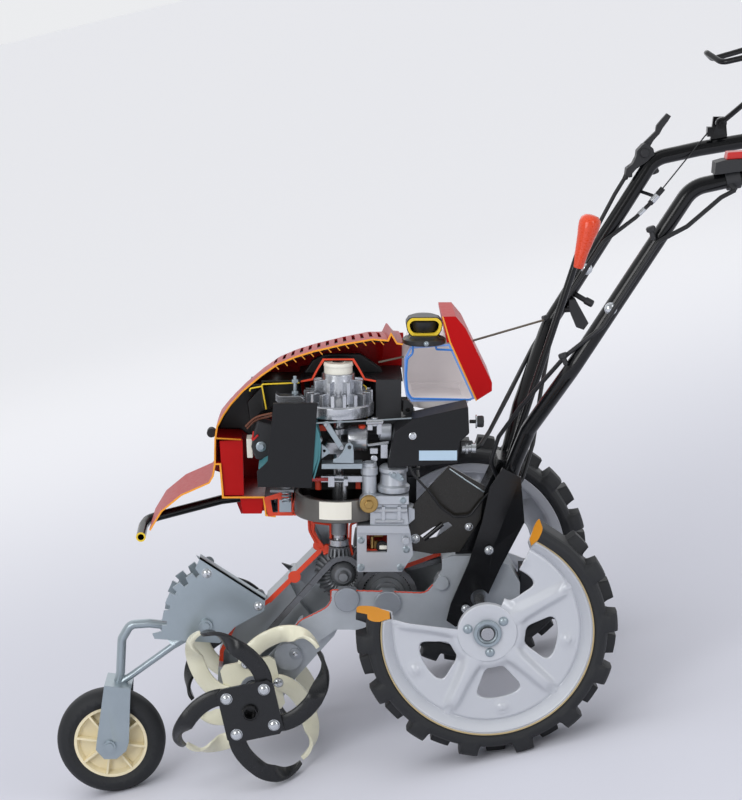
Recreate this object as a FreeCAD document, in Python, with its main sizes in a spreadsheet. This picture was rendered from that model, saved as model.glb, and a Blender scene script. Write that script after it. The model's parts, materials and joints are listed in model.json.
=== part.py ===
import FreeCAD, Part
import math
import os

# Compact rotary tiller, shown in cutaway: rear drive wheels, mid-mounted counter-rotating tines,
# front gauge wheel on a notched arm. Millimetres.
# Working frame of the sheet: x forward, y to the left, z up, zero on the drive axle, with the
# crankshaft upright. STAND then pitches and lifts everything into the parked frame.

V = FreeCAD.Vector
AXIS_X = V(1, 0, 0)
AXIS_Y = V(0, 1, 0)
AXIS_Z = V(0, 0, 1)
FULL_TURN = 360.0

doc = FreeCAD.newDocument("RotaryTiller")
sheet = doc.addObject("Spreadsheet::Sheet", "Sizes")

SIZES = {
    # drive wheels
    "wheel_radius": 177.5, "wheel_track": 378.0, "wheel_width": 70.0,
    "tread_radius": 163.0, "bead_radius": 131.0, "rim_lip_radius": 143.0,
    "rim_width": 56.0, "rim_wall": 3.0, "disc_wall": 4.0,
    "hub_radius": 39.5, "hub_length": 60.0, "axle_radius": 9.0, "axle_fit": 0.06,
    "lug_count": 14.0, "lug_phase": 4.9, "lug_tip": 23.0, "lug_foot": 28.0, "lug_wrap": 11.0,
    "window_count": 5.0, "sector_start": 63.6, "sector_end": 172.6,
    # gauge wheel and its arm
    "gauge_radius": 78.5, "gauge_width": 38.0, "gauge_rim_radius": 53.0, "gauge_bore": 6.0,
    "gauge_x": 599.0, "gauge_z": -142.0, "pivot_x": 389.0, "pivot_z": -46.0,
    "arm_drop": 27.5, "notch_radius": 62.0, "bracket_half": 34.0,
    # tines
    "rotor_x": 323.0, "rotor_z": -133.5, "rotor_radius": 117.0, "blade_thickness": 6.0,
    "outer_plate_y": 150.0, "inner_plate_y": 43.0, "plate_side": 80.0, "plate_thickness": 5.0,
    "tine_bolt_circle": 38.0, "tine_bolt_radius": 7.0, "outer_bolt_angle": 59.5, "inner_bolt_angle": 103.5,
    "inner_drop": 0.7, "plate_turn": 12.0,
    "tine_shaft_radius": 11.0, "shaft_overhang": 6.0, "tine_sleeve_radius": 17.0,
    # stand and frame origin
    "park_pitch": 13.4, "origin_x": -24.145,
    # handles
    "bar_radius": 11.0, "bar_wall": 2.0, "bar_spread": 177.0, "lever_radius": 5.0,
    "bail_radius": 4.0, "cable_radius": 3.0, "wire_radius": 1.8, "rope_radius": 1.6, "grip_radius": 15.0,
    "bail_mount_x": -358.0, "bail_mount_z": 616.0, "bail_ear_height": 34.0,
    # transmission
    "case_half": 42.0, "case_wall": 6.0, "counter_x": 193.0, "counter_z": 22.0,
    "idler_x": 130.0, "idler_z": -7.0, "ring_gear_radius": 35.0, "chain_width": 9.0,
    "axle_sprocket_radius": 46.0, "rotor_sprocket_radius": 26.0, "small_sprocket_radius": 22.0,
    "idler_gear_radius": 33.0, "lay_shaft_radius": 8.0, "chain_depth": 5.0, "chain_fit": 0.1,
    "upper_chain_y": 5.0, "lower_chain_y": -14.0, "lay_shaft_left": 26.0, "lay_shaft_right": 36.0,
    # engine
    "crank_x": 199.0, "crank_radius": 9.0, "crank_top": 331.0, "plug_radius": 12.7, "plug_height": 6.0,
    "pinion_rise": 29.0, "flywheel_radius": 50.0, "flywheel_z": 258.0,
    "drum_radius": 63.0, "drum_z": 112.0, "drum_height": 32.0, "drum_wall": 7.0, "drum_floor": 6.0,
    "bell_clearance": 3.0, "vane_count": 16.0, "fin_count": 6.0, "fin_pitch": 13.0,
    "tank_wall": 3.0, "tank_width": 120.0, "cap_x": 78.0, "cap_y": -24.0, "cap_radius": 24.0,
    "cap_flange": 31.0,
    "sheet_wall": 2.5, "hood_half": 118.0, "plate_wall": 4.0, "column_half": 30.0, "foot_gap": 0.5,
    "knob_neck": 7.5, "knob_radius": 13.5,
}
for row, (alias, value) in enumerate(SIZES.items(), start=1):
    sheet.set("A%d" % row, alias)
    sheet.set("B%d" % row, repr(float(value)))
    sheet.setAlias("B%d" % row, alias)
doc.recompute()

S = SIZES
made = []


def bind(obj, **expressions):
    """Bind properties to sheet cells: names in an expression are the sheet's aliases."""
    for prop, text in expressions.items():
        words = sorted(SIZES, key=len, reverse=True)
        out = text
        for index, word in enumerate(words):
            out = out.replace(word, "<%d>" % index)
        for index, word in enumerate(words):
            out = out.replace("<%d>" % index, "Sizes." + word)
        obj.setExpression(prop, out)
    return obj


def turned(direction):
    return FreeCAD.Rotation(AXIS_Z, direction)


def cylinder(name, radius, height, start, direction):
    """A cylinder from start along direction; radius and height are sheet expressions."""
    obj = doc.addObject("Part::Cylinder", name)
    bind(obj, Radius=radius, Height=height)
    obj.Placement = FreeCAD.Placement(start, turned(direction))
    return obj


def feature(name, shape):
    obj = doc.addObject("Part::Feature", name)
    obj.Shape = shape
    return obj


def smooth_path(points, bend):
    """A wire through the points with arcs of radius bend at the corners."""
    edges = []
    last = points[0]
    for before, corner, after in zip(points, points[1:], points[2:]):
        a = (before - corner).normalize()
        b = (after - corner).normalize()
        angle = a.getAngle(b)
        if math.pi - angle < 1e-4:
            continue
        reach = min(bend / math.tan(angle / 2), (before - corner).Length * 0.45,
                    (after - corner).Length * 0.45)
        start = corner + a * reach
        end = corner + b * reach
        radius = reach * math.tan(angle / 2)
        half = (a + b).normalize()
        middle = corner + half * (radius / math.sin(angle / 2) - radius)
        edges.append(Part.makeLine(last, start))
        edges.append(Part.Arc(start, middle, end).toShape())
        last = end
    edges.append(Part.makeLine(last, points[-1]))
    return Part.Wire(edges)


def pipe(points, bend, radius, wall=None):
    """A round tube swept along the points; solid where wall is left out."""
    path = smooth_path(points, bend)
    first = points[0]
    heading = points[1] - points[0]
    def swept(r):
        ring = Part.Wire([Part.makeCircle(r, first, heading)])
        return path.makePipeShell([ring], True, False)
    body = swept(radius)
    if wall:
        body = body.cut(swept(radius - wall))
    return body


def spin_profile(points, y_shift=0.0):
    """Turn (radius, y) points a full turn about the y axis."""
    wire = Part.makePolygon([V(r, y + y_shift, 0) for r, y in points]
                            + [V(points[0][0], points[0][1] + y_shift, 0)])
    return Part.Face(wire).revolve(V(0, 0, 0), AXIS_Y, FULL_TURN)


def moved(shape, x, y, z):
    out = shape.copy()
    out.translate(V(x, y, z))
    return out


def about_y(shape, degrees, centre=V(0, 0, 0)):
    out = shape.copy()
    out.rotate(centre, AXIS_Y, degrees)
    return out


def polar(radius, degrees):
    """Point at an angle seen from the left side: zero towards the rear, rising."""
    a = math.radians(degrees)
    return -radius * math.cos(a), radius * math.sin(a)


def extruded(points, y, depth):
    wire = Part.makePolygon([V(x, y, z) for x, z in points] + [V(points[0][0], y, points[0][1])])
    return Part.Face(wire).extrude(V(0, depth, 0))


def largest(shape):
    """The biggest of the solids that a cut leaves."""
    return max(shape.Solids, key=lambda solid: solid.Volume)


def rod(radius, start, end):
    return Part.makeCylinder(radius, (end - start).Length, start, end - start)


# ---------------------------------------------------------------- stand and placements
LIFT = S["wheel_radius"]
STAND = FreeCAD.Placement(V(-S["origin_x"], 0, LIFT), FreeCAD.Rotation(AXIS_Y, -S["park_pitch"]))
PIVOT = V(S["pivot_x"], 0, S["pivot_z"])
DROP = FreeCAD.Placement(V(0, 0, 0), FreeCAD.Rotation(AXIS_Y, S["arm_drop"]), PIVOT)
ARM_STAND = STAND.multiply(DROP)


def publish(obj, label, placement=STAND):
    """Name a finished sub-part and set it in the parked frame."""
    obj.Label = label
    own = obj.Placement
    obj.Placement = placement.multiply(own)
    made.append((obj, label))
    return obj


# ---------------------------------------------------------------- drive wheels
half_track = S["wheel_track"] / 2
half_tyre = S["wheel_width"] / 2


def lug(middle, side):
    """A tread block: tall on the crown, wrapping over one shoulder down the side wall."""
    foot = math.degrees(S["lug_foot"] / 2 / S["tread_radius"])
    tip = math.degrees(S["lug_tip"] / 2 / S["wheel_radius"])
    corners = [polar(S["tread_radius"] - 2, middle - foot), polar(S["wheel_radius"], middle - tip),
               polar(S["wheel_radius"], middle + tip), polar(S["tread_radius"] - 2, middle + foot)]
    crown = extruded(corners, 2.0 if side > 0 else -half_tyre, half_tyre - 2.0)
    low = S["tread_radius"] - S["lug_wrap"]
    high = S["tread_radius"] + 4
    apron = [polar(low, middle - foot * 0.7), polar(high, middle - foot),
             polar(high, middle + foot), polar(low, middle + foot * 0.7)]
    wall = extruded(apron, half_tyre - 4.0 if side > 0 else -half_tyre, 4.0)
    return [crown, wall]


def tyre_shape():
    seat = S["rim_width"] / 2 - S["rim_wall"] - 0.2
    lip = S["rim_lip_radius"] + 0.3
    side = half_tyre - 2
    crown = S["tread_radius"]
    wall_height = crown - lip
    low = lip + 0.25 * wall_height
    high = lip + 0.49 * wall_height
    shoulder = lip + 0.85 * wall_height
    section = [(S["bead_radius"], -seat), (lip, -seat), (lip, -side + 4), (low, -side), (high, -side),
               (shoulder, -side + 5), (crown, -side + 14), (crown, side - 14), (shoulder, side - 5),
               (high, side), (low, side), (lip, side - 4), (lip, seat), (S["bead_radius"], seat)]
    body = spin_profile(section)
    step = FULL_TURN / S["lug_count"]
    blocks = []
    for index in range(int(S["lug_count"])):
        blocks += lug(step * index + S["lug_phase"], 1)
        blocks += lug(step * (index + 0.5) + S["lug_phase"], -1)
    return body.fuse(blocks).removeSplitter()


def rim_shape():
    half = S["rim_width"] / 2
    lip = S["rim_lip_radius"]
    bead = S["bead_radius"] - 0.5
    wall = S["rim_wall"]
    disc_y = 14.0
    barrel = spin_profile([(lip, -half), (lip, -half + wall), (bead, -half + wall), (bead, half - wall),
                           (lip, half - wall), (lip, half), (bead - wall, half), (bead - wall, -half)])
    disc = Part.makeCylinder(bead - 1, S["disc_wall"], V(0, disc_y, 0), AXIS_Y)
    step_ring = ring(bead - 1, bead - 9, disc_y, 9)
    hub = Part.makeCylinder(S["hub_radius"], 12, V(0, disc_y, 0), AXIS_Y)
    boss = Part.makeCylinder(18, S["hub_length"], V(0, -S["hub_length"] / 2, 0), AXIS_Y)
    solids = [disc, step_ring, hub, boss]
    windows = []
    for index in range(int(S["window_count"])):
        spoke = 25.7 + FULL_TURN / S["window_count"] * index
        ridge = [polar(30, spoke - 13), polar(bead - 4, spoke - 3.4), polar(bead - 4, spoke + 3.4),
                 polar(30, spoke + 13)]
        solids.append(extruded(ridge, disc_y, 9))
        middle = spoke + 36
        corners = [polar(108, middle - 19), polar(114, middle - 10), polar(114, middle + 10),
                   polar(108, middle + 19), polar(66, middle + 12), polar(58, middle), polar(66, middle - 12)]
        windows.append(extruded(corners, disc_y - 5, 30))
    body = barrel.fuse(solids).cut(windows)
    for index in range(3):
        x, z = polar(27, 38 + 120 * index)
        body = body.fuse(Part.makeCylinder(6, 5, V(x, disc_y + 11, z), AXIS_Y))
    bore = Part.makeCylinder(S["axle_radius"] + S["axle_fit"], S["wheel_width"] + 40,
                             V(0, -S["wheel_width"], 0), AXIS_Y)
    return body.cut(bore)


def ring(outer, inner, y, depth):
    return Part.makeCylinder(outer, depth, V(0, y, 0), AXIS_Y).cut(
        Part.makeCylinder(inner, depth, V(0, y, 0), AXIS_Y))


def sector(radius, start, end, depth):
    """A wedge between two angles, as seen from the left."""
    steps = 12
    fan = [(0.0, 0.0)]
    for index in range(steps + 1):
        fan.append(polar(radius, start + (end - start) * index / steps))
    return extruded(fan, -depth / 2, depth)


tyre = tyre_shape()
rim = rim_shape()
missing = sector(300, S["sector_start"], S["sector_end"], 200)
opened = missing.cut(Part.makeCylinder(S["hub_radius"] + 0.1, 200, V(0, -100, 0), AXIS_Y))
mirror_tyre = tyre.mirror(V(0, 0, 0), AXIS_Y)
mirror_rim = rim.mirror(V(0, 0, 0), AXIS_Y)
publish(feature("TyreLeft", moved(tyre.cut(opened), 0, half_track, 0)), "tyre_left")
publish(feature("RimLeft", moved(rim.cut(opened), 0, half_track, 0)), "rim_left")
publish(feature("TyreRight", moved(mirror_tyre, 0, -half_track, 0)), "tyre_right")
publish(feature("RimRight", moved(mirror_rim, 0, -half_track, 0)), "rim_right")
axle_reach = half_track + S["hub_length"] / 2
publish(cylinder("Axle", "axle_radius", "wheel_track + hub_length", V(0, -axle_reach, 0), AXIS_Y),
        "drive_axle")
axle_hole = Part.makeCylinder(S["axle_radius"], 400, V(0, -200, 0), AXIS_Y)

# ---------------------------------------------------------------- gauge wheel and arm
gw = V(S["gauge_x"], 0, S["gauge_z"])
ghalf = S["gauge_width"] / 2
inner = S["gauge_rim_radius"]
outer = S["gauge_radius"]
gtyre = spin_profile([(inner + 0.3, -ghalf + 4), (inner + 8, -ghalf), (outer - 9, -ghalf + 1),
                      (outer - 2, -ghalf + 8),
                      (outer, -5), (outer, 5), (outer - 2, ghalf - 8), (outer - 9, ghalf - 1),
                      (inner + 8, ghalf), (inner + 0.3, ghalf - 4)])
publish(feature("GaugeTyre", moved(gtyre, gw.x, 0, gw.z)), "gauge_tyre", ARM_STAND)
hole = S["gauge_bore"] + 0.06
grim = spin_profile([(inner, -ghalf + 4), (inner, ghalf - 4), (inner - 4, ghalf - 4), (inner - 7, 4), (15, 4),
                     (15, ghalf + 2), (hole, ghalf + 2), (hole, -ghalf - 2), (15, -ghalf - 2), (15, -4),
                     (inner - 7, -4), (inner - 4, -ghalf + 4)])
ribs = []
for index in range(8):
    for side in (-1, 1):
        rib = Part.makeBox(inner - 18, ghalf - 6, 3, V(14, 3 if side > 0 else 3 - ghalf, -1.5))
        ribs.append(about_y(rib, 45 * index + 10))
publish(feature("GaugeRim", moved(grim.fuse(ribs), gw.x, 0, gw.z)), "gauge_rim", ARM_STAND)

fork_y = ghalf + 6
pin_x = S["gauge_x"]
pin_z = S["gauge_z"]
fork_leg = [(562, -58), (531, -80), (572, -150), (582, -160), (600, -164), (616, -156), (620, -138),
            (610, -124)]
leg_left = extruded(fork_leg, fork_y, S["plate_wall"])
leg_right = extruded(fork_leg, -fork_y - S["plate_wall"], S["plate_wall"])
crown = extruded([(531, -80), (562, -58), (565, -62), (534, -84)], -fork_y - 1, 2 * fork_y + 2)
pin = rod(S["gauge_bore"], V(pin_x, -fork_y - 11, pin_z), V(pin_x, fork_y + 11, pin_z))
nut = rod(9, V(pin_x, fork_y + 4, pin_z), V(pin_x, fork_y + 9, pin_z))
upper = pipe([V(548, 0, -70), V(538, 0, -58), V(512, 0, -15), V(491, 0, -2), V(466, 0, -13), V(432, 0, -36),
              V(405, 0, -46)], 14, 6.5)
lower = pipe([V(545, 0, -72), V(526, 0, -70), V(447, 0, -58), V(400, 0, -50)], 10, 5)
knuckle = rod(13, V(PIVOT.x, -25, PIVOT.z), V(PIVOT.x, 25, PIVOT.z))
web = extruded([(383, -57), (392, -60), (452, -63), (456, -24), (436, -22), (384, -35)], -4, 8)
arm = leg_left.fuse([leg_right, crown, pin, nut, upper, lower, knuckle, web])
arm = arm.cut(rod(6.06, V(PIVOT.x, -60, PIVOT.z), V(PIVOT.x, 60, PIVOT.z)))
publish(feature("GaugeArm", arm), "gauge_arm", ARM_STAND)

case_side = 26.0
plate_at = case_side + 0.3
bracket_profile = [(396, 55), (307, -5), (306, -25), (348, -49), (370, -73), (463, -66), (466, -59),
                   (452, -40), (449, -9), (439, 7), (404, 34)]
cheeks = [extruded(bracket_profile, plate_at, S["plate_wall"]),
          extruded(bracket_profile, -plate_at - S["plate_wall"], S["plate_wall"])]
flange = extruded([(396, 55), (307, -5), (309, -8), (398, 52)], -plate_at - 12, 2 * plate_at + 24)
pivot_bolt = rod(6.0, V(PIVOT.x, -40, PIVOT.z), V(PIVOT.x, 40, PIVOT.z))
pivot_head = rod(10.0, V(PIVOT.x, plate_at + 3, PIVOT.z), V(PIVOT.x, plate_at + 10, PIVOT.z))
notches = []
for angle in (76.0, 61.8, 42.4, 23.6, -4.0):
    nx = PIVOT.x + S["notch_radius"] * math.cos(math.radians(angle))
    nz = PIVOT.z + S["notch_radius"] * math.sin(math.radians(angle))
    notches.append(rod(4.5, V(nx, -60, nz), V(nx, 60, nz)))
bolts = []
for bx, bz in ((387, 29), (318, -20)):
    bolts.append(rod(6.0, V(bx, plate_at + 3, bz), V(bx, plate_at + 9, bz)))
bracket = cheeks[0].fuse([cheeks[1], flange, pivot_bolt, pivot_head]).cut(notches).fuse(bolts)
publish(feature("GaugeBracket", bracket), "gauge_bracket")

# ---------------------------------------------------------------- tines
# Stations along a blade's outer edge: degrees past its bolt, share of the rotor's radius, sideways drop,
# lean of the width in degrees, width.
BLADE_STATIONS = (
    (-15, 0.367, 0, 0, 24), (13, 0.615, 0, 0, 24), (27, 0.752, 0, 0, 24), (37, 0.863, 0, 0, 24),
    (44, 0.936, 2, 26, 24), (50, 0.983, 7, 50, 23.5), (55, 1.004, 14, 70, 23), (59, 1.009, 21, 82, 22),
    (63, 1.009, 31, 88, 16), (66.5, 1.004, 43, 88, 5),
)


def blade(bolt_angle, hand, side, y, drop_scale):
    """A flat bar that sweeps out of the plate and bends sideways over its outer third to a slanted point."""
    edge = []
    for degrees, share, drop, lean, width in BLADE_STATIONS:
        x, z = polar(share * S["rotor_radius"], bolt_angle + hand * degrees)
        edge.append(V(x, y + side * drop * drop_scale, z))
    sections = []
    for index, (degrees, share, drop, lean, width) in enumerate(BLADE_STATIONS):
        before = edge[max(index - 1, 0)]
        after = edge[min(index + 1, len(edge) - 1)]
        along = (after - before).normalize()
        inward = AXIS_Y.cross(along).normalize()
        if inward.dot(edge[index]) > 0:
            inward = inward * -1
        a = math.radians(lean)
        across = (inward * math.cos(a) + AXIS_Y * (side * math.sin(a))).normalize()
        normal = along.cross(across).normalize() * (S["blade_thickness"] / 2)
        far = edge[index] + across * (width * (1 if lean < 60 else drop_scale))
        sections.append(Part.makePolygon([edge[index] + normal, far + normal, far - normal,
                                          edge[index] - normal,
                                          edge[index] + normal]))
    return Part.makeLoft(sections, True, True)


def tine_set(y, bolt_angle, hand, side, drop_scale):
    """A square plate on the shaft with a blade under a bolt at each corner."""
    t = S["blade_thickness"]
    half_side = S["plate_side"] / 2
    plate = Part.makeBox(2 * half_side, S["plate_thickness"], 2 * half_side, V(-half_side, y, -half_side))
    parts = []
    blade_y = y - t / 2 if side < 0 else y + S["plate_thickness"] + t / 2
    for index in range(4):
        angle = bolt_angle + FULL_TURN / 4 * index
        parts.append(blade(angle, hand, side, blade_y, drop_scale))
        bx, bz = polar(S["tine_bolt_circle"], angle)
        low = min(y, blade_y - t / 2) - 4
        parts.append(Part.makeCylinder(S["tine_bolt_radius"], S["plate_thickness"] + t + 8, V(bx, low, bz),
                                       AXIS_Y))
    return about_y(plate, S["plate_turn"]).fuse(parts)


def at_rotor(shape):
    return moved(shape, S["rotor_x"], 0, S["rotor_z"])


outer_y = S["outer_plate_y"]
inner_y = S["inner_plate_y"]
outer_left = tine_set(outer_y - S["plate_thickness"], S["outer_bolt_angle"], 1, -1, 1.0)
outer_right = outer_left.mirror(V(0, 0, 0), AXIS_Y)
shaft_start = V(S["rotor_x"], -outer_y - S["shaft_overhang"], S["rotor_z"])
shaft_hole = Part.makeCylinder(S["tine_shaft_radius"], 400, V(0, -200, 0), AXIS_Y)
outer_both = Part.makeCompound([outer_left.cut(shaft_hole), outer_right.cut(shaft_hole)])
publish(feature("OuterTines", at_rotor(outer_both)), "tines_outer")
shaft_length = "2 * outer_plate_y + 2 * shaft_overhang"
rotor_shaft = cylinder("RotorShaft", "tine_shaft_radius", shaft_length, shaft_start, AXIS_Y)
publish(rotor_shaft, "rotor_shaft")
inner_left = tine_set(inner_y, S["inner_bolt_angle"], -1, 1, S["inner_drop"])
sleeve = Part.makeCylinder(S["tine_sleeve_radius"], 2 * inner_y + 14, V(0, -inner_y - 7, 0), AXIS_Y)
sleeve_bore = Part.makeCylinder(S["tine_sleeve_radius"], 400, V(0, -200, 0), AXIS_Y)
inner_right = inner_left.mirror(V(0, 0, 0), AXIS_Y)
inner_both = Part.makeCompound([inner_left.cut(sleeve_bore), inner_right.cut(sleeve_bore)])
hollow = Part.makeCylinder(S["tine_shaft_radius"] + 0.08, 2 * outer_y, V(0, -outer_y, 0), AXIS_Y)
publish(feature("InnerTines", at_rotor(inner_both)), "tines_inner")
publish(feature("RotorSleeve", at_rotor(sleeve.cut(hollow))), "rotor_sleeve")

# ---------------------------------------------------------------- gear case halves
half = S["case_half"]
wall = S["case_wall"]
main_outline = [(242, 104), (241, 87), (231, 66), (229, 57), (279, 6), (262, -30), (231, -70), (204, -50),
                (184, -50), (112, -57), (60, -60), (0, -60), (-40, -46), (-58, -18), (-58, 18), (-42, 44),
                (-10, 58), (40, 58), (72, 46), (112, 31), (126, 23), (172, 19), (178, 30), (185, 52),
                (185, 104)]
leg_outline = [(262, 20), (279, 6), (303, -18), (350, -48), (372, -95), (374, -135), (360, -165), (338, -182),
               (308, -182), (286, -165), (262, -128), (236, -98), (206, -64), (190, -30), (220, 0)]


def inset(points, distance):
    wire = Part.makePolygon([V(x, 0, z) for x, z in points] + [V(points[0][0], 0, points[0][1])])
    return Part.Face(wire).makeOffset2D(-distance)


main_core = inset(main_outline, wall)
leg_core = inset(leg_outline, wall)


def hollow_half(side):
    """One half of the two-piece case, open at the joint plane."""
    sign = 1 if side > 0 else -1
    y_main = 0 if side > 0 else -half
    y_leg = 0 if side > 0 else -case_side
    solid = extruded(main_outline, y_main, half).fuse(extruded(leg_outline, y_leg, case_side))
    return solid.cut([main_core.extrude(V(0, sign * (half - wall), 0)),
                      leg_core.extrude(V(0, sign * (case_side - wall), 0))])


cx = S["crank_x"]
shaft_bore = Part.makeCylinder(S["crank_radius"] + 3, 300, V(cx, 0, 0), AXIS_Z)
right_half = hollow_half(-1).fuse([
    extruded([(303, -18), (229, 57), (224, 52), (298, -23)], -half + 1, half - 1),
    rod(9, V(263, -half + 1, 16), V(263, 0, 16)),
    extruded([(207, 104), (207, 52), (213, 60), (214, 71), (210, 84), (213, 94), (233, 99), (242, 104)],
             -half, half),
])
window = extruded([(53, 200), (53, 38), (66, 16), (78, 4), (131, 6), (209, 9), (211, -7), (218, -17),
                   (255, -37),
                   (275, -67), (302, -96), (322, -120), (420, -100), (420, 200)], -1, 100)
left_half = hollow_half(1).cut(window)
sleeve_hole = Part.makeCylinder(S["tine_sleeve_radius"] + 0.08, 200, V(S["rotor_x"], -100, S["rotor_z"]),
                                AXIS_Y)
gx = S["counter_x"]
gz = S["counter_z"]
ix = S["idler_x"]
iz = S["idler_z"]
for bx, bz, br, by in ((gx - 5, -4, 17, 48), (ix, -10, 18, 48), (272, -93, 20, 34), (54, 20, 10, 48)):
    left_half = left_half.fuse(rod(br, V(bx, 22, bz), V(bx, by, bz)).cut(window))

# ---------------------------------------------------------------- gear train inside the case
def chain_link_path(x1, z1, r1, x2, z2, r2, y, width, thick):
    """A chain as one closed band round two sprockets."""
    d = math.hypot(x2 - x1, z2 - z1)
    base = math.atan2(z2 - z1, x2 - x1)
    spread = math.acos((r1 - r2) / d)
    def band(grow):
        points = []
        steps = 14
        for index in range(steps + 1):
            a = base + spread + (2 * math.pi - 2 * spread) * index / steps
            points.append((x1 + (r1 + grow) * math.cos(a), z1 + (r1 + grow) * math.sin(a)))
        for index in range(steps + 1):
            a = base - spread + 2 * spread * index / steps
            points.append((x2 + (r2 + grow) * math.cos(a), z2 + (r2 + grow) * math.sin(a)))
        return extruded(points, y, width)
    return band(thick).cut(band(0.0))


ring_gear = rod(S["ring_gear_radius"], V(gx, -14, gz), V(gx, -4, gz)).fuse(
    Part.makeCone(S["ring_gear_radius"], 24, 9, V(gx, -4, gz), AXIS_Y))
pinion = Part.makeCone(S["crank_radius"], 16, 12, V(cx, 0, gz + S["pinion_rise"]), AXIS_Z)
counter = rod(S["lay_shaft_radius"], V(gx, -S["lay_shaft_right"], gz), V(gx, S["lay_shaft_left"], gz))
upper_y = S["upper_chain_y"]
lower_y = S["lower_chain_y"]
chain_wide = S["chain_width"]
small = S["small_sprocket_radius"]
fit = S["chain_fit"]
first_sprocket = rod(small, V(gx, upper_y, gz), V(gx, upper_y + chain_wide, gz))
idler_gear = rod(S["idler_gear_radius"], V(ix, -2, iz), V(ix, 8, iz)).fuse(rod(small, V(ix, 8, iz),
                                                                               V(ix, 16, iz)))
idler_shaft = rod(S["lay_shaft_radius"], V(ix, -S["lay_shaft_right"], iz), V(ix, S["lay_shaft_left"], iz))
big = S["axle_sprocket_radius"]
axle_sprocket = rod(big, V(0, lower_y, 0), V(0, lower_y + 8, 0)).fuse(rod(18, V(0, -24, 0),
                                                                          V(0, 10, 0))).cut(axle_hole)
rx = S["rotor_x"]
rz = S["rotor_z"]
gears = ring_gear.fuse([counter, first_sprocket]).fuse([idler_gear, idler_shaft])
rotor_r = S["rotor_sprocket_radius"]
rotor_ring = rod(rotor_r, V(rx, upper_y, rz), V(rx, upper_y + chain_wide, rz)).cut(sleeve_hole)
chain_front = chain_link_path(gx, gz, small + fit, rx, rz, rotor_r + fit, upper_y, chain_wide,
                              S["chain_depth"])
chain_rear = chain_link_path(ix, iz, small + fit, 0, 0, big + fit, lower_y, chain_wide, S["chain_depth"])
rear_small = rod(small, V(ix, lower_y, iz), V(ix, -2, iz))
gears = gears.fuse(rear_small)
crank_foot = gz + S["pinion_rise"]
crank = rod(S["crank_radius"], V(cx, 0, crank_foot), V(cx, 0, S["crank_top"]))
gears = gears.cut([crank, pinion])
pinion = pinion.cut(crank)
chain_front = chain_front.cut([gears, rotor_ring])
chain_rear = chain_rear.cut([gears, axle_sprocket])
everything = [gears, pinion, crank, axle_sprocket, rotor_ring, chain_front, chain_rear]
clear = [axle_hole, sleeve_hole] + everything
right_half = right_half.cut(clear + [shaft_bore])
left_half = left_half.cut(clear)
publish(feature("CaseRight", right_half), "gear_case_right")
publish(feature("CaseLeft", left_half), "gear_case_left")
publish(feature("GearTrain", gears), "bevel_gear_train")
publish(feature("AxleSprocket", axle_sprocket), "axle_sprocket")
publish(feature("RotorSprocket", rotor_ring), "rotor_sprocket")
publish(feature("ChainFront", chain_front), "chain_front")
publish(feature("ChainRear", chain_rear), "chain_rear")
publish(feature("Pinion", pinion), "bevel_pinion")

# ---------------------------------------------------------------- engine
publish(feature("Crank", crank), "crankshaft")
crank_hole = Part.makeCylinder(S["crank_radius"], 400, V(cx, 0, 0), AXIS_Z)
drum_r = S["drum_radius"]
dz = S["drum_z"]


def half_turned(points):
    """Turn (radius, z) points half round the crankshaft, on the right-hand side."""
    wire = Part.makePolygon([V(r, 0, z) for r, z in points] + [V(points[0][0], 0, points[0][1])])
    return moved(Part.Face(wire).revolve(V(0, 0, 0), AXIS_Z, -180.0), cx, 0, 0)


bell = half_turned([(22, 104.3), (43, 104.3), (57, 107), (64, 107), (70, 112), (70, 150), (66, 150),
                    (66, 114),
                    (60, 110), (22, 110)])
lug_block = extruded([(306, 134), (300, 106), (290, 107), (264, 107), (264, 150), (271, 150), (286, 140)],
                     -60, 60)
lug_block = lug_block.cut(extruded([(296, 130), (293, 112), (286, 112), (286, 132)], -54, 60))
bell = bell.fuse(lug_block).cut(rod(drum_r + S["bell_clearance"], V(cx, 0, 110), V(cx, 0, 160)))
drum = rod(drum_r, V(cx, 0, dz), V(cx, 0, dz + S["drum_height"]))
drum_inside = rod(drum_r - S["drum_wall"], V(cx, 0, dz + S["drum_floor"]),
                  V(cx, 0, dz + 2 * S["drum_height"]))
drum = drum.cut([drum_inside, crank_hole])
engine = Part.makeBox(150, 92, 130, V(88, -98, 112)).cut([rod(71, V(cx, 0, 90), V(cx, 0, 151)), crank_hole])
fins = []
for index in range(int(S["fin_count"])):
    fins.append(Part.makeBox(160, 100, 3, V(83, -102, 160 + S["fin_pitch"] * index)))
engine = engine.fuse([fin.cut(crank_hole) for fin in fins])
for s in (-1, 1):
    engine = engine.fuse(Part.makeBox(16, 16, 8, V(cx - 8 + s * 32, -90, 104.3)))
deck = S["flywheel_z"] - 16
core = Part.makeBox(30, 60, deck - 150, V(cx - 15, -60, 150)).cut(crank_hole)
engine = engine.fuse(core)
publish(feature("Bell", bell.cut([crank_hole, engine, drum])), "bell_housing")
publish(feature("Drum", drum.cut(engine)), "clutch_drum")
publish(feature("Engine", engine), "engine_block")
fz = S["flywheel_z"]
fr = S["flywheel_radius"]
fly = rod(fr, V(cx, 0, fz), V(cx, 0, fz + 18)).fuse(rod(24, V(cx, 0, fz + 18), V(cx, 0, fz + 46)))
vanes = []
for index in range(int(S["vane_count"])):
    vane = Part.makeBox(fr - 20, 2.4, 26, V(cx + 20, -1.2, fz + 17))
    vane.rotate(V(cx, 0, 0), AXIS_Z, FULL_TURN / S["vane_count"] * index)
    vanes.append(vane)
fly = fly.fuse(vanes).cut(crank_hole)
publish(feature("Flywheel", fly), "flywheel")
cup = rod(20, V(cx, 0, fz + 46.3), V(cx, 0, S["crank_top"])).cut([crank_hole])
publish(feature("StarterCup", cup), "starter_cup")
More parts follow.
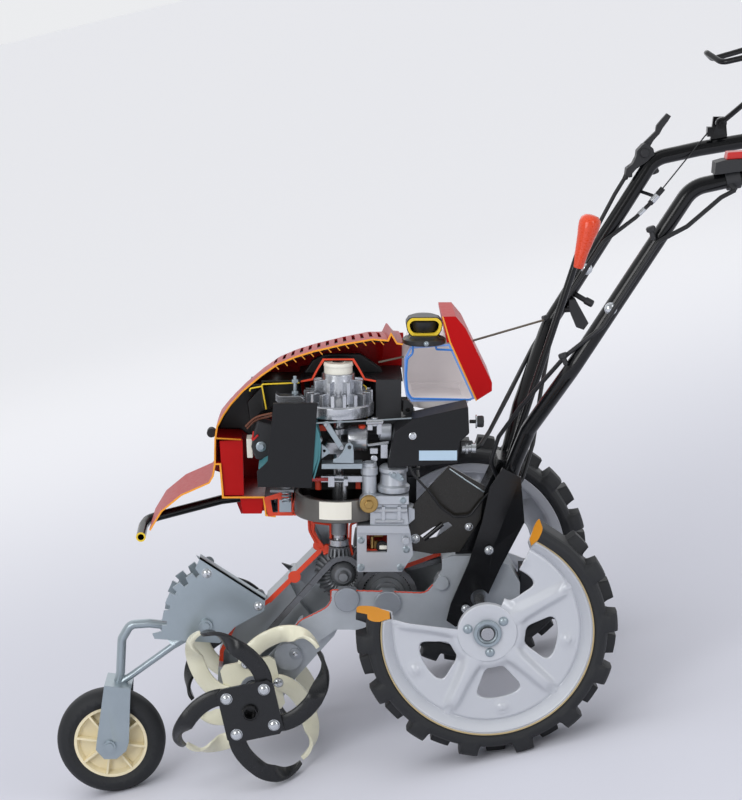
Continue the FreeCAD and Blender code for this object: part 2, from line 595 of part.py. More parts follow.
dome = half_turned([(20, 333), (22, 335.5), (30, 322), (38, 307), (53, 304), (53, 301.5), (36, 304.5),
                    (28, 320),
                    (20, 332)])
roof = half_turned([(0, 333), (22, 333), (22, 335.5), (0, 335.5)])
deck_plate = Part.makeBox(146, 100, 3, V(108, -104, 301.5)).cut(rod(53, V(cx, 0, 290), V(cx, 0, 320)))
box = Part.makeBox(52, 60, 64, V(110, -62, 240)).cut(rod(fr + 3, V(cx, 0, 230), V(cx, 0, 320)))
posts = [Part.makeBox(8, 8, 61, V(240, -100, 242)), Part.makeBox(8, 8, 61, V(110, -104, 242))]
housing = dome.fuse([roof, deck_plate, box] + posts).cut(engine)
publish(feature("StarterHousing", housing), "starter_housing")
bracket_top = Part.makeBox(54, 60, 2.5, V(253.5, -70, 300)).fuse([
    Part.makeBox(2.5, 60, 40, V(305, -70, 262)), Part.makeBox(18, 50, 2.5, V(306, -65, 294))])
publish(feature("ShroudBracket", bracket_top.cut(housing)), "shroud_bracket")

airbox_face = [(96, 261), (19, 278), (17, 240), (30, 228), (33, 197), (131, 191), (121, 243)]
air_box = extruded(airbox_face, 8, 51)
publish(feature("AirBox", air_box), "air_box")
carb = Part.makeBox(43, 56, 62, V(102, -6, 94)).fuse([
    Part.makeBox(50, 46, 59, V(126, 0, 36)), rod(10.5, V(156, 34, 146), V(156, 34, 192)),
    rod(13, V(157, 20, 140), V(157, 58, 140)), rod(24, V(116, 33, 156), V(116, 33, 197))])
carb = carb.cut([Part.makeBox(42, 30, 48, V(130, 22, 44)), air_box, engine, drum, bell,
                 right_half] + everything)
publish(feature("Carburettor", carb), "carburettor")
publish(cylinder("BrassPlug", "plug_radius", "plug_height", V(157, 58, 140), AXIS_Y), "brass_plug")
shield_line = [(289, 286), (228, 286), (237, 165), (312, 167), (313, 189), (298, 203)]
shield = extruded(shield_line, 62, 6)
stay = Part.makeBox(14, 74, 12, V(238, -12, 176))
publish(feature("FrontShield", shield.fuse(stay.cut(engine))), "front_shield")

# ---------------------------------------------------------------- fuel tank and tail
tank_line = [(104, 283), (106, 300), (106, 335), (98, 352), (42, 356), (30, 330), (6, 277), (14, 274),
             (96, 273)]
tank_w = S["tank_width"]
tank_body = extruded(tank_line, -tank_w, tank_w)
tank_core = inset(tank_line, S["tank_wall"]).extrude(V(0, S["tank_wall"] - tank_w, 0))
sump = Part.makeBox(76, 90, 14, V(20, -110, 261))
tank = tank_body.fuse(sump).cut([tank_core, Part.makeBox(70, 84, 14, V(23, -107, 264))])
near_half = Part.makeBox(80, 80, 80, V(38, 0, 330))


def at_cap(radius, low, high):
    """A round piece on the filler's axis."""
    return rod(radius, V(S["cap_x"], S["cap_y"], low), V(S["cap_x"], S["cap_y"], high))


cap_r = S["cap_radius"]
tank = tank.cut(at_cap(cap_r - 4, 340, 370).cut(near_half))
publish(feature("Tank", tank), "fuel_tank")
cap_top = Part.makeCone(cap_r + 3, cap_r + 1, 16, V(S["cap_x"], S["cap_y"], 376), AXIS_Z)
cap = at_cap(cap_r, 358, 376).fuse([at_cap(S["cap_flange"], 357, 363), cap_top])
cap = cap.cut(at_cap(cap_r - 7, 366, 388)).fuse(at_cap(cap_r + 2, 389, 393)).cut(near_half)
publish(feature("Cap", cap.cut(tank)), "fuel_cap")
tank_lug = Part.makeBox(9, 24, 17, V(100.5, -34, 256))
tail_line = [(53, 395), (34, 395), (20, 378), (-18, 300), (-18, 288), (4, 274), (6, 277), (-14, 290),
             (-14, 299),
             (23, 376), (36, 392), (53, 392)]
tail = extruded(tail_line, -116, 116)
tail_side = extruded([(53, 395), (34, 395), (20, 378), (-18, 300), (-18, 288), (4, 274), (42, 358)], -118.5,
                     2.5)
spine = extruded([(42, 359), (46, 357.5), (53, 392), (49, 394)], -118, 118)
tail_near = extruded([(53, 395), (34, 395), (20, 378), (-18, 300), (-18, 288), (4, 274), (42, 358)], -2.5,
                     2.5)
tail_cover = tail.fuse([tail_side, tail_near, spine]).cut([tank, cap])
publish(feature("Tail", tail_cover), "tail_cover")
publish(feature("TankLug", tank_lug.cut([housing, tank])), "tank_bracket")

# ---------------------------------------------------------------- hood
skin = [(470, 87), (453, 115), (424, 139), (384, 157), (379, 166), (376, 184), (375, 220), (372, 238),
        (363, 255),
        (352, 271), (335, 290), (309, 312), (286, 328), (260, 339), (234, 347), (191, 357), (151, 364),
        (128, 362)]
nose_end = 5


def strip(points, thick, y, depth):
    """A bent sheet: an open (x, z) line given thickness on its inner side, pushed out along y."""
    normals = []
    for index, (x, z) in enumerate(points):
        x0, z0 = points[max(index - 1, 0)]
        x1, z1 = points[min(index + 1, len(points) - 1)]
        length = math.hypot(x1 - x0, z1 - z0)
        normals.append(((z1 - z0) / length, -(x1 - x0) / length))
    back = [(x - nx * thick, z - nz * thick) for (x, z), (nx, nz) in zip(points, normals)]
    return extruded(points + back[::-1], y, depth)


hh = S["hood_half"]
sheet_t = S["sheet_wall"]
skin_top = strip(skin, sheet_t, -hh, hh)
skin_tail = extruded([(130, 362.4), (125, 373), (116, 358), (108, 356.5), (108, 354.5), (117, 355.6),
                      (124.5, 368),
                      (127.6, 360.6), (130, 360)], -hh, hh)
panel = extruded([(375, 184.5), (366, 184.5), (362.6, 135.6), (304.6, 135.6), (302, 109), (289, 107),
                  (289, 104.5),
                  (304, 106.5), (307, 133), (365.2, 133), (368.4, 182), (375, 182)], -hh, hh)
side_panel = extruded(skin[nose_end:] + [(128, 262), (150, 225), (290, 170), (306, 84), (343, 79), (364, 134),
                                         (366.5, 183)], -hh, sheet_t)
nose_side = extruded(skin[:nose_end + 1] + [(366, 184), (366, 140), (384, 146), (424, 130)], -hh, sheet_t)
shelf = extruded([(374.4, 222), (337, 220), (337, 217.8), (374.4, 219.8)], -hh + 1, hh - 1)
hood = skin_top.fuse([skin_tail, panel, side_panel, nose_side, shelf])
hood = hood.cut([bracket_top, housing, cap, tank, tail, bell])
slots = []
for index in range(13):
    t = index / 12
    sx = 286 - (286 - 138) * t
    slots.append(Part.makeBox(4.5, 62, 60, V(sx, -78, 310)))
publish(feature("Hood", hood.cut(slots)), "hood")
leg_y = -90.0
bumper = pipe([V(483, -12.5, 73), V(484, -70, 74), V(479, leg_y, 78), V(462, leg_y - 6, 82),
               V(371, leg_y - 6, 106),
               V(307.3, leg_y - 6, 114)], 12, 7, 1.6)
publish(feature("Bumper", bumper.cut(hood)), "front_bumper")

# ---------------------------------------------------------------- column, plates and handlebars
ch = S["column_half"]
column_line = [(58, 4), (36, -44), (-2, -44), (-30, 40), (-56, 162), (-60, 190), (-26, 196), (-18, 175)]
column = extruded(column_line, -ch, 2 * ch)
column = column.cut([extruded(main_outline, -half - 20, 2 * half + 40), axle_hole])
foot_y = ch + 2 * S["bar_radius"] + S["foot_gap"]
foot_line = [(-30, 190), (-56, 176), (-62, 111), (-29, 45), (1, -24), (20, -38), (34, -42), (47, -33),
             (41, -8),
             (16, 53), (-2, 111), (-12, 160)]
foot = extruded(foot_line, foot_y, S["plate_wall"]).cut(rod(S["axle_radius"] + 4, V(0, ch, 0),
                                                            V(0, 2 * foot_y, 0)))
spacer = rod(8, V(-12, ch - 10, 72), V(-12, foot_y + S["plate_wall"], 72))
bolt_top = foot_y + S["plate_wall"] + 5
bolt_heads = [rod(6, V(x, foot_y, z), V(x, bolt_top, z)) for x, z in ((-12, 72), (20, -14))]
column = column.fuse([spacer, foot] + bolt_heads)
publish(feature("Column", column), "column")
plate_line = [(44, 188), (-7, 158), (-2, 110), (28, 62), (66, 59), (107, 66), (107, 96), (92, 134)]
slot_hole = extruded([(78, 80), (60, 84), (38, 100), (44, 106), (66, 98), (84, 86)], 0, 60)
plate = extruded(plate_line, ch + 0.3, S["plate_wall"]).cut([slot_hole, carb])
publish(feature("SidePlate", plate), "side_plate")


def bar(side, bore=S["bar_wall"]):
    """One handlebar tube; with no bore it is the solid that other pieces are fitted against."""
    y = side * S["bar_spread"]
    foot = side * (ch + S["bar_radius"] + 0.2)
    return pipe([V(-22, foot, 90), V(-46, foot, 190), V(-64, foot + side * 34, 250), V(-112, y - side * 12,
                                                                                       352),
                 V(-264, y, 597), V(-329, y, 611), V(-392, y, 622), V(-560, y, 650)], 40,
                S["bar_radius"], bore)


publish(feature("BarLeft", bar(1)), "handlebar_left")
publish(feature("BarRight", bar(-1)), "handlebar_right")
hitch = Part.makeBox(44, 44, 62, V(-104, -22, -30)).cut(rod(9, V(-84, 0, -60), V(-84, 0, 80)))
arm_block = Part.makeBox(42, 30, 34, V(-92, -15, -16))
hitch = hitch.fuse(arm_block).cut([rod(9, V(-84, 0, -60), V(-84, 0, 80)), right_half, left_half,
                                   extruded(main_outline, -half, 2 * half)])
publish(feature("Hitch", hitch), "rear_hitch")
lever = pipe([V(-43, 18, 194.0), V(-60, 24, 250), V(-125, 40, 467), V(-136, 40, 503)], 20, S["lever_radius"])
publish(feature("ShiftLever", lever), "shift_lever")
knob_foot = V(-131, 40, 470)
knob_axis = V(-15, 0, 58)
knob = Part.makeCone(S["knob_neck"], S["knob_radius"], knob_axis.Length, knob_foot, knob_axis)
knob_top = Part.makeCone(S["knob_radius"], S["knob_neck"], 17, knob_foot + knob_axis, knob_axis)
knob = knob.fuse(knob_top).cut(lever)
publish(feature("ShiftKnob", knob), "shift_knob")
grips = []
for s in (1, -1):
    y = s * S["bar_spread"]
    inside = rod(S["bar_radius"], V(-392, y, 622), V(-560, y, 650))
    grips.append(rod(S["grip_radius"], V(-440, y, 630), V(-556, y, 649.3)).cut(inside))
publish(feature("Grips", Part.makeCompound(grips)), "hand_grips")
side_y = S["bar_spread"]
mount_x = S["bail_mount_x"]
mount_z = S["bail_mount_z"]
bail_z = mount_z + S["bail_ear_height"]
bail = pipe([V(mount_x, -side_y + 16, bail_z), V(-420, -side_y + 24, 705), V(-470, -side_y + 50, 768),
             V(-400, -60, 770), V(-322, -38, 750), V(-306, 0, 762), V(-322, 38, 750), V(-400, 60, 770),
             V(-470, side_y - 50, 768), V(-420, side_y - 24, 705), V(mount_x, side_y - 16, bail_z)], 16,
            S["bail_radius"])
eyes = []
for s in (-1, 1):
    y = s * side_y
    eyes.append(rod(8, V(mount_x, y - s * 12, bail_z), V(mount_x, y - s * 20, bail_z)))
bail = bail.fuse(eyes).cut(rod(4.06, V(mount_x, -300, bail_z), V(mount_x, 300, bail_z)))
publish(feature("Bail", bail), "clutch_bail")
brackets = []
for s in (-1, 1):
    y = s * side_y
    tab = extruded([(mount_x - 14, mount_z - 4), (mount_x + 14, mount_z - 7), (mount_x + 9, bail_z + 8),
                    (mount_x - 9, bail_z + 8)], y - 3, 6)
    tab = tab.fuse(rod(4.0, V(mount_x, y, bail_z), V(mount_x, y - s * 24, bail_z)))
    tab = tab.cut(pipe([V(-264, y, 597), V(-329, y, 611), V(-392, y, 622), V(-560, y, 650)], 40,
                       S["bar_radius"]))
    if s < 0:
        tab = tab.fuse(Part.makeBox(9, 12, 14, V(mount_x + 10, y + 2, mount_z + 14)))
    brackets.append(tab)
publish(feature("BailBrackets", Part.makeCompound(brackets)), "bail_brackets")

# ---------------------------------------------------------------- controls, cables and rope
spread = S["bar_spread"]
far_bar = bar(-1, None)
near_bar = bar(1, None)
lever_base = extruded([(-247, 618), (-270, 611), (-262, 578), (-232, 572), (-224, 580), (-237, 608)],
                      -spread - 9, 18)
lever_arm = extruded([(-240, 606), (-254, 628), (-262, 644), (-275, 664), (-283, 660), (-272, 640),
                      (-264, 624),
                      (-252, 604)], -spread - 4, 8)
ferrule = rod(5, V(-230, -spread, 586), V(-222, -spread, 567))
throttle = largest(lever_base.fuse([lever_arm, ferrule]).cut(far_bar))
publish(feature("ThrottleLever", throttle), "throttle_lever")
switch = extruded([(-294, 629), (-292, 611), (-300, 592), (-341, 597), (-341, 637), (-300, 634)],
                  spread - 15, 30)
switch = largest(switch.cut(near_bar))
publish(feature("SwitchBox", switch), "switch_box")
button = extruded([(-306, 633.8), (-340, 636.6), (-341, 646), (-308, 644)], spread - 11, 22).cut(switch)
publish(feature("SwitchButton", button), "switch_button")

cable = S["cable_radius"]
switch_cable = pipe([V(-318, spread + 18, 596), V(-300, spread + 16, 586), V(-257, spread + 15, 548),
                     V(-221, 188.6, 528), V(-150, 183.2, 413), V(-104, 168, 372), V(-72, 128, 322),
                     V(-50, 92, 284), V(-24, 54, 234), V(-14, 44, 196), V(-24, 34, 172), V(-27, 25, 164)],
                    18, cable)
switch_cable = largest(switch_cable.cut([near_bar, switch, column]))
throttle_cable = pipe([V(-224, -spread, 572), V(-208, -spread, 545), V(-187, -176, 504), V(-150, -184, 412),
                       V(-112, -181, 352), V(-88, -150, 322), V(-44, -66, 262), V(-16, -14, 226),
                       V(0, 22, 213),
                       V(20, 32, 208)], 18, cable)
throttle_cable = largest(throttle_cable.cut([throttle, far_bar, air_box]))
ear_y = -spread + 12
clutch_wire = rod(1.0, V(-343, ear_y, 640), V(-276, ear_y, 554))
fitting = rod(4.2, V(-277, ear_y, 555), V(-258, ear_y, 532))
hook = rod(2.5, V(-226, -172, 556), V(-268, ear_y, 542))
clutch_cable = pipe([V(-259, ear_y, 533), V(-238, ear_y, 512), V(-191, -156.5, 478), V(-122, -151, 368),
                     V(-112, -128, 338), V(-94, -84, 262), V(-82, -50, 200), V(-66, -36, 150),
                     V(-44, -22, 126)],
                    18, cable)
clutch_line = clutch_wire.fuse([fitting, hook, clutch_cable]).cut([far_bar, column] + brackets)
clutch_line = largest(clutch_line)
publish(feature("SwitchCable", switch_cable), "switch_cable")
stop_wire = pipe([V(101, 55, 195), V(95, 55, 181), V(73, 52, 156), V(56, 46, 131), V(36, 42, 115),
                  V(14, 42, 117), V(0, 41, 136), V(-12, 36, 148), V(-22, 27, 148)], 12, S["wire_radius"])
stop_wire = stop_wire.cut([air_box, column])
publish(feature("StopWire", largest(stop_wire)), "stop_wire")
publish(feature("ThrottleCable", throttle_cable), "throttle_cable")
publish(feature("ClutchCable", clutch_line), "clutch_cable")

rope_eye = V(-104, -157, 361)
rope = rod(S["rope_radius"], V(30, -60, 342), rope_eye).cut([tail_cover, tank])
rope = min(rope.Solids, key=lambda solid: solid.BoundBox.XMin)
publish(feature("StarterRope", rope), "starter_rope")
eye_block = rod(5, V(-118, -165, 366), V(-104, -159, 362))
grip = extruded([(-141, 392), (-150, 394), (-170, 358), (-163, 348), (-152, 352), (-141, 378)], -160, 13)
grip_arm = rod(4, V(-122, -164, 374), V(-150, -154, 378))
starter_grip = eye_block.fuse([grip, grip_arm]).cut([far_bar, rope, clutch_line, throttle_cable])
publish(feature("StarterGrip", starter_grip), "starter_grip")

# ---------------------------------------------------------------- checks and files
doc.recompute()
os.makedirs("parts", exist_ok=True)
for obj in doc.Objects:
    if "Invalid" in obj.State or "Error" in obj.State:
        raise RuntimeError("%s failed: %s" % (obj.Name, obj.State))
for obj, label in made:
    if obj.Shape.isNull() or not obj.Shape.isValid() or obj.Shape.Volume <= 0:
        raise RuntimeError("%s has no valid solid" % label)
for obj, label in made:
    obj.Shape.exportStep("parts/%s.step" % label)
    box = obj.Shape.BoundBox
    print("%-18s solids %d  x %.0f..%.0f  y %.0f..%.0f  z %.0f..%.0f" % (
        label, len(obj.Shape.Solids), box.XMin, box.XMax, box.YMin, box.YMax, box.ZMin, box.ZMax))
whole = Part.makeCompound([obj.Shape for obj, label in made]).BoundBox
print("whole x %.2f..%.2f  y %.2f..%.2f  z %.2f..%.2f" % (
    whole.XMin, whole.XMax, whole.YMin, whole.YMax, whole.ZMin, whole.ZMax))
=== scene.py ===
# %% [markdown]
# # A rotary tiller shown cut open
# The object is a small walk-behind tiller made as a display cutaway: one half of the hood, the gear
# case, the clutch bell and the tank is taken away, and every sawn edge is painted so that it reads.
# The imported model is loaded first. It fixes every size, so the looks are built around it.

# %% Load the frame
import json
import math

import bpy
import numpy as np
from mathutils import Matrix


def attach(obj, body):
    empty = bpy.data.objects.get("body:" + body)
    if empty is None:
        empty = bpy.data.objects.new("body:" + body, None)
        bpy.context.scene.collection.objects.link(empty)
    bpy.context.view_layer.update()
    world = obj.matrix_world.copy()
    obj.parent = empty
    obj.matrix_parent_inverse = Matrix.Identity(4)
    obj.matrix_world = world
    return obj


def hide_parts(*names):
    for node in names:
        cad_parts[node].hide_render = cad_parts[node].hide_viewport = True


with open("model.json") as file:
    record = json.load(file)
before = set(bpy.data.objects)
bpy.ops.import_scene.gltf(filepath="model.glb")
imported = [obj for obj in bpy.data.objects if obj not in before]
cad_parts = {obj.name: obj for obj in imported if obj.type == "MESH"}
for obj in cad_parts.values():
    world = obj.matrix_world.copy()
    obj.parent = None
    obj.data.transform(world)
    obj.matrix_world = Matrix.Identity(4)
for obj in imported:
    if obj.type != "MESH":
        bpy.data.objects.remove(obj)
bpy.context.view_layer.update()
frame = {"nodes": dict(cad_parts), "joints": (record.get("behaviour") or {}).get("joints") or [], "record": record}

# %% [markdown]
# ## Two frames of reference
# The machine parks nose up on its drive wheels and its gauge wheel, and the tines end a few millimetres
# above the floor. It is easier to think of it level, with the drive axle as the origin, x forward, y to
# its left and z up, all in millimetres. One turn about y and one lift lead from that level frame to the
# packed one. The axle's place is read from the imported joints, so the two frames can't drift apart.

# %% The level frame
joint_at = {joint["name"]: np.array(joint["pos_m"]) * 1000 for joint in frame["joints"]}
AXLE = joint_at["wheel_left_spin"] * (1, 0, 1)
PITCH = math.radians(13.4)
LEFT, UP = (0, 1, 0), (0, 0, 1)
UPRIGHT = np.array(((math.cos(PITCH), 0, -math.sin(PITCH)), LEFT, (math.sin(PITCH), 0, math.cos(PITCH))))


def parked(points):
    """Level millimetres to packed metres: turn about y by the pitch, then lift by the axle's place."""
    return (np.asarray(points, float) @ UPRIGHT.T + AXLE) / 1000


print("axle at", np.round(AXLE, 1), "mm, nose up by", round(math.degrees(PITCH), 1), "degrees")

# %% [markdown]
# ## The camera
# A long lens stands about three metres to the machine's left and a little above it, so the wheels
# look almost round and the far side shows over the near one. The camera is placed in the level frame
# and then parked with the machine.

# %% Camera
EYE = np.array((208.98, 3111.7, 952.0))
YAW, LOOK_DOWN, LENS = 0.018, 0.214, 101.43
forward = np.array((-math.sin(YAW) * math.cos(LOOK_DOWN), -math.cos(YAW) * math.cos(LOOK_DOWN),
                    -math.sin(LOOK_DOWN)))
right = np.array((-math.cos(YAW), math.sin(YAW), 0.0))
up = np.cross(right, forward)
turn = np.stack((right, up, -forward), axis=1)
camera = bpy.data.objects.new("camera", bpy.data.cameras.new("camera"))
bpy.context.scene.collection.objects.link(camera)
camera.matrix_world = Matrix.Translation(parked(EYE)) @ Matrix((UPRIGHT @ turn).tolist()).to_4x4()
camera.data.lens = LENS
camera.data.sensor_width = 36
camera.data.clip_end = 50
bpy.context.scene.camera = camera
print("the lens is", LENS, "mm and the eye stands", round(float(parked(EYE)[1]), 2), "m to the left")

# %% [markdown]
# ## Light and floor
# Soft studio light comes from a broad ceiling bank, two panels on the near side, one on the far side
# and a pale world that fills the shadows. The floor and the backdrop are one pale sheet, so its
# colour, not more light, makes the background. That colour holds painted light: painted shade near the
# machine that fades to a near white far floor.

# %% Colour and node helpers


def linear(hex_colour, alpha=1.0):
    """An sRGB hex colour as linear light: c / 12.92 below 0.04045, else ((c + 0.055) / 1.055) ** 2.4."""
    channels = np.array([int(hex_colour[i:i + 2], 16) for i in (1, 3, 5)]) / 255
    light = np.where(channels <= 0.04045, channels / 12.92, ((channels + 0.055) / 1.055) ** 2.4)
    return (*light.tolist(), alpha)


def add(tree, kind, inputs=(), **settings):
    """Add one node: plain settings by name, then each input as a value or as a link from a socket."""
    node = tree.nodes.new(kind)
    for name, value in settings.items():
        setattr(node, name, value)
    for name, value in dict(inputs).items():
        if isinstance(value, bpy.types.NodeSocket):
            tree.links.new(value, node.inputs[name])
        else:
            node.inputs[name].default_value = value
    return node


def blank_material(name):
    """A new material whose tree holds only its output."""
    material = bpy.data.materials.new(name)
    material.use_nodes = True
    tree = material.node_tree
    tree.nodes.clear()
    return material, tree, tree.nodes.new("ShaderNodeOutputMaterial")


# %% World and lamps
bpy.context.scene.view_settings.view_transform = "Standard"
world = bpy.data.worlds.new("studio")
bpy.context.scene.world = world
world.use_nodes = True
tree = world.node_tree
tree.nodes.clear()
rays = tree.nodes.new("ShaderNodeLightPath")
seen = add(tree, "ShaderNodeMath", {0: rays.outputs["Is Camera Ray"], 1: rays.outputs["Is Glossy Ray"]},
           operation="MAXIMUM")
fill = add(tree, "ShaderNodeBackground", {"Color": linear("#eceef3"), "Strength": 0.5})
facing = add(tree, "ShaderNodeSeparateXYZ", {0: tree.nodes.new("ShaderNodeTexCoord").outputs["Generated"]})
room = add(tree, "ShaderNodeMapRange", {"Value": facing.outputs["Y"], "From Min": -0.2, "From Max": 0.75,
                                        "To Min": 0.95, "To Max": 0.3}, interpolation_type="SMOOTHSTEP")
shown = add(tree, "ShaderNodeBackground", {"Color": linear("#f1f2f4"), "Strength": room.outputs[0]})
mixed = add(tree, "ShaderNodeMixShader", {0: seen.outputs[0], 1: fill.outputs[0], 2: shown.outputs[0]})
add(tree, "ShaderNodeOutputWorld", {"Surface": mixed.outputs[0]})


def aimed(item, place, aim):
    """Put a lamp at a place in metres, with its beam on a point."""
    back = np.array(place, float) - np.array(aim, float)
    back /= np.linalg.norm(back)
    side = np.cross((0.0, 1.0, 0.0) if abs(back[2]) > 0.9 else (0.0, 0.0, 1.0), back)
    side /= np.linalg.norm(side)
    axes = np.stack((side, np.cross(back, side), back), axis=1)
    item.matrix_world = Matrix.Translation(place) @ Matrix(axes.tolist()).to_4x4()
    bpy.context.scene.collection.objects.link(item)


def lamp(name, place, aim, width, height, power):
    """A soft rectangular lamp."""
    data = bpy.data.lights.new(name, "AREA")
    data.shape, data.size, data.size_y, data.energy = "RECTANGLE", width, height, power
    aimed(bpy.data.objects.new(name, data), place, aim)


def sky_bank(name, place, strength, spread_degrees):
    """A bank of ceiling lamps so far off and so wide that it lights near and far floor alike: a broad sun."""
    data = bpy.data.lights.new(name, "SUN")
    data.energy, data.angle = strength, math.radians(spread_degrees)
    bank = bpy.data.objects.new(name, data)
    bank.visible_glossy = False
    aimed(bank, place, (0.0, 0.0, 0.0))


sky_bank("ceiling", (0.5, 1.1, 3.0), 1.35, 70)
lamp("near left", (1.5, 2.6, 1.5), (0.1, 0.0, 0.3), 1.2, 1.6, 26)
lamp("near right", (-1.9, 2.3, 1.2), (0.0, 0.0, 0.3), 0.7, 1.8, 16)
lamp("far side", (0.3, -2.4, 2.2), (0.0, 0.0, 0.3), 2.4, 1.4, 10)

# %% Floor
REACH = 90.0
corners = np.array([(x, y, 0.0) for x, y in ((-1, -1), (1, -1), (1, 1), (-1, 1))]) * REACH
floor_mesh = bpy.data.meshes.new("floor")
floor_mesh.from_pydata(corners.tolist(), [], [(0, 1, 2, 3)])
floor = bpy.data.objects.new("floor", floor_mesh)
bpy.context.scene.collection.objects.link(floor)
paper, tree, output = blank_material("seamless background paper")
place = tree.nodes.new("ShaderNodeTexCoord").outputs["Object"]
away = add(tree, "ShaderNodeVectorMath", {0: place, 1: (0.0, 0.6, 0.0)}, operation="DISTANCE")
near_far = add(tree, "ShaderNodeMapRange", {"Value": away.outputs["Value"], "From Min": 0.9, "From Max": 4.2},
               interpolation_type="SMOOTHSTEP")
# The floor's colour is painted light: painted shade near the machine that fades to a near white far floor.
painted_floor_light = add(tree, "ShaderNodeMix", {"Factor": near_far.outputs[0], "A": linear("#d2d3dc"),
                                   "B": linear("#fcfcfe")},
           data_type="RGBA")
matte = add(tree, "ShaderNodeBsdfDiffuse")
tree.links.new(next(socket for socket in painted_floor_light.outputs if socket.type == "RGBA"), matte.inputs["Color"])
tree.links.new(matte.outputs[0], output.inputs["Surface"])
floor_mesh.materials.append(paper)
print("the floor reaches", REACH, "m each way")

# %% [markdown]
# ## Finishes
# Each material starts from what the real surface is and how it was made: sprayed enamel, die-cast
# aluminium, zinc plate, moulded rubber. Its small relief comes from noise whose scale is worked out
# from a real size in millimetres: a feature of p mm needs a noise scale of 1000 / p.

# %% One finish from a few facts
finishes = {}
MOTTLE_MM = 1000 / 22
SAW_WIDTH = 0.0002
CUT_PAINT_ROUGH = 0.35


def finish(name, colour, rough, metal=0.0, grain_mm=2.0, relief=0.0, mottle=0.0, rough_spread=0.08,
           coat=0.0, cut=None, subsurface=0.0, specular=0.5, painted_glow=0.0):
    """A principled surface. Fine noise of grain_mm raises relief and breaks up gloss, a broad noise darkens
    the colour by mottle, and where a piece was sawn on the middle plane (y = 0) the paint called cut
    covers it. painted_glow is emission: a painted glow that lifts a milky plastic as light passing
    through it would."""
    material, tree, output = blank_material(name)
    place = tree.nodes.new("ShaderNodeTexCoord").outputs["Object"]
    fine = add(tree, "ShaderNodeTexNoise", {"Vector": place, "Scale": 1000 / grain_mm, "Detail": 3.0})
    broad = add(tree, "ShaderNodeTexNoise", {"Vector": place, "Scale": 1000 / MOTTLE_MM, "Detail": 4.0,
                                             "Roughness": 0.6})
    shade = add(tree, "ShaderNodeMix", {"Factor": broad.outputs["Fac"], "A": linear(colour),
                                       "B": tuple(c * (1 - mottle) for c in linear(colour)[:3]) + (1.0,)},
                data_type="RGBA")
    gloss = add(tree, "ShaderNodeMapRange", {"Value": fine.outputs["Fac"],
                                             "To Min": max(rough - rough_spread, 0.02),
                                             "To Max": rough + rough_spread})
    facts = {"Metallic": metal, "Roughness": gloss.outputs[0], "Specular IOR Level": specular}
    # Emission here is painted light: a glow standing in for light that passes through the milky plastic.
    if painted_glow:
        facts.update({"Emission Color": linear(colour), "Emission Strength": painted_glow})
    if coat:
        facts.update({"Coat Weight": coat, "Coat Roughness": 0.06})
    if subsurface:
        facts.update({"Subsurface Weight": subsurface, "Subsurface Radius": (0.01, 0.01, 0.012)})
    surface = add(tree, "ShaderNodeBsdfPrincipled", facts)
    bsdf_colour = mix_output(shade)
    if relief:
        bump = add(tree, "ShaderNodeBump", {"Height": fine.outputs["Fac"], "Strength": relief,
                                            "Distance": grain_mm / 4000})
        tree.links.new(bump.outputs[0], surface.inputs["Normal"])
    if cut:
        apart = add(tree, "ShaderNodeSeparateXYZ", {0: place})
        sawn = add(tree, "ShaderNodeMath", {0: apart.outputs["Y"], 1: 0.0, 2: SAW_WIDTH}, operation="COMPARE")
        painted = add(tree, "ShaderNodeMix", {"Factor": sawn.outputs[0], "A": bsdf_colour, "B": linear(cut)},
                      data_type="RGBA")
        bsdf_colour = mix_output(painted)
        if metal:
            bare = add(tree, "ShaderNodeMapRange", {"Value": sawn.outputs[0], "To Min": metal, "To Max": 0.0})
            tree.links.new(bare.outputs[0], surface.inputs["Metallic"])
        dull = add(tree, "ShaderNodeMix", {"Factor": sawn.outputs[0], "A": gloss.outputs[0],
                                           "B": CUT_PAINT_ROUGH})
        tree.links.new(dull.outputs[0], surface.inputs["Roughness"])
    tree.links.new(bsdf_colour, surface.inputs["Base Color"])
    tree.links.new(surface.outputs[0], output.inputs["Surface"])
    finishes[name] = material
    return material


def mix_output(node):
    """The colour output of a Mix node, which keeps a hidden output for each data type."""
    return next(socket for socket in node.outputs if socket.type == "RGBA")


# %% The finishes
AMBER, VERMILION, TANK_BLUE, YELLOW = "#f0a030", "#d8401c", "#2b74c4", "#e0c030"
finish("moulded tyre rubber", "#1d1f22", 0.6, grain_mm=1.2, relief=0.25, mottle=0.25)
finish("silver wheel enamel", "#c3c6cc", 0.34, metal=0.2, grain_mm=0.8, relief=0.04, mottle=0.05, coat=0.3)
finish("cream wheel plastic", "#ece0bd", 0.42, grain_mm=3.0, relief=0.05, mottle=0.06, subsurface=0.1)
finish("cream tine enamel", "#e6e3cb", 0.3, grain_mm=3.0, relief=0.06, mottle=0.06, coat=0.4)
finish("black enamel", "#0b0c0e", 0.2, grain_mm=4.0, relief=0.04, mottle=0.1, specular=0.42)
finish("zinc plated steel", "#aab6bd", 0.34, metal=0.75, grain_mm=1.5, relief=0.04, mottle=0.18,
       rough_spread=0.12)
finish("die cast aluminium", "#b3b9c1", 0.38, metal=0.7, grain_mm=1.0, relief=0.4, mottle=0.35, cut=VERMILION)
finish("machined aluminium", "#c9ccd1", 0.26, metal=0.9, grain_mm=0.5, relief=0.06, mottle=0.1)
finish("oiled gear steel", "#8f9296", 0.36, metal=0.6, grain_mm=0.8, relief=0.1, mottle=0.3)
finish("ground steel", "#b4b6ba", 0.24, metal=0.9, grain_mm=0.6, relief=0.05, mottle=0.12)
finish("red hood enamel", "#a80c0f", 0.36, grain_mm=6.0, relief=0.02, mottle=0.08, cut=AMBER, specular=0.3)
finish("red tail enamel", "#b80d11", 0.34, grain_mm=6.0, relief=0.02, mottle=0.06, specular=0.12)
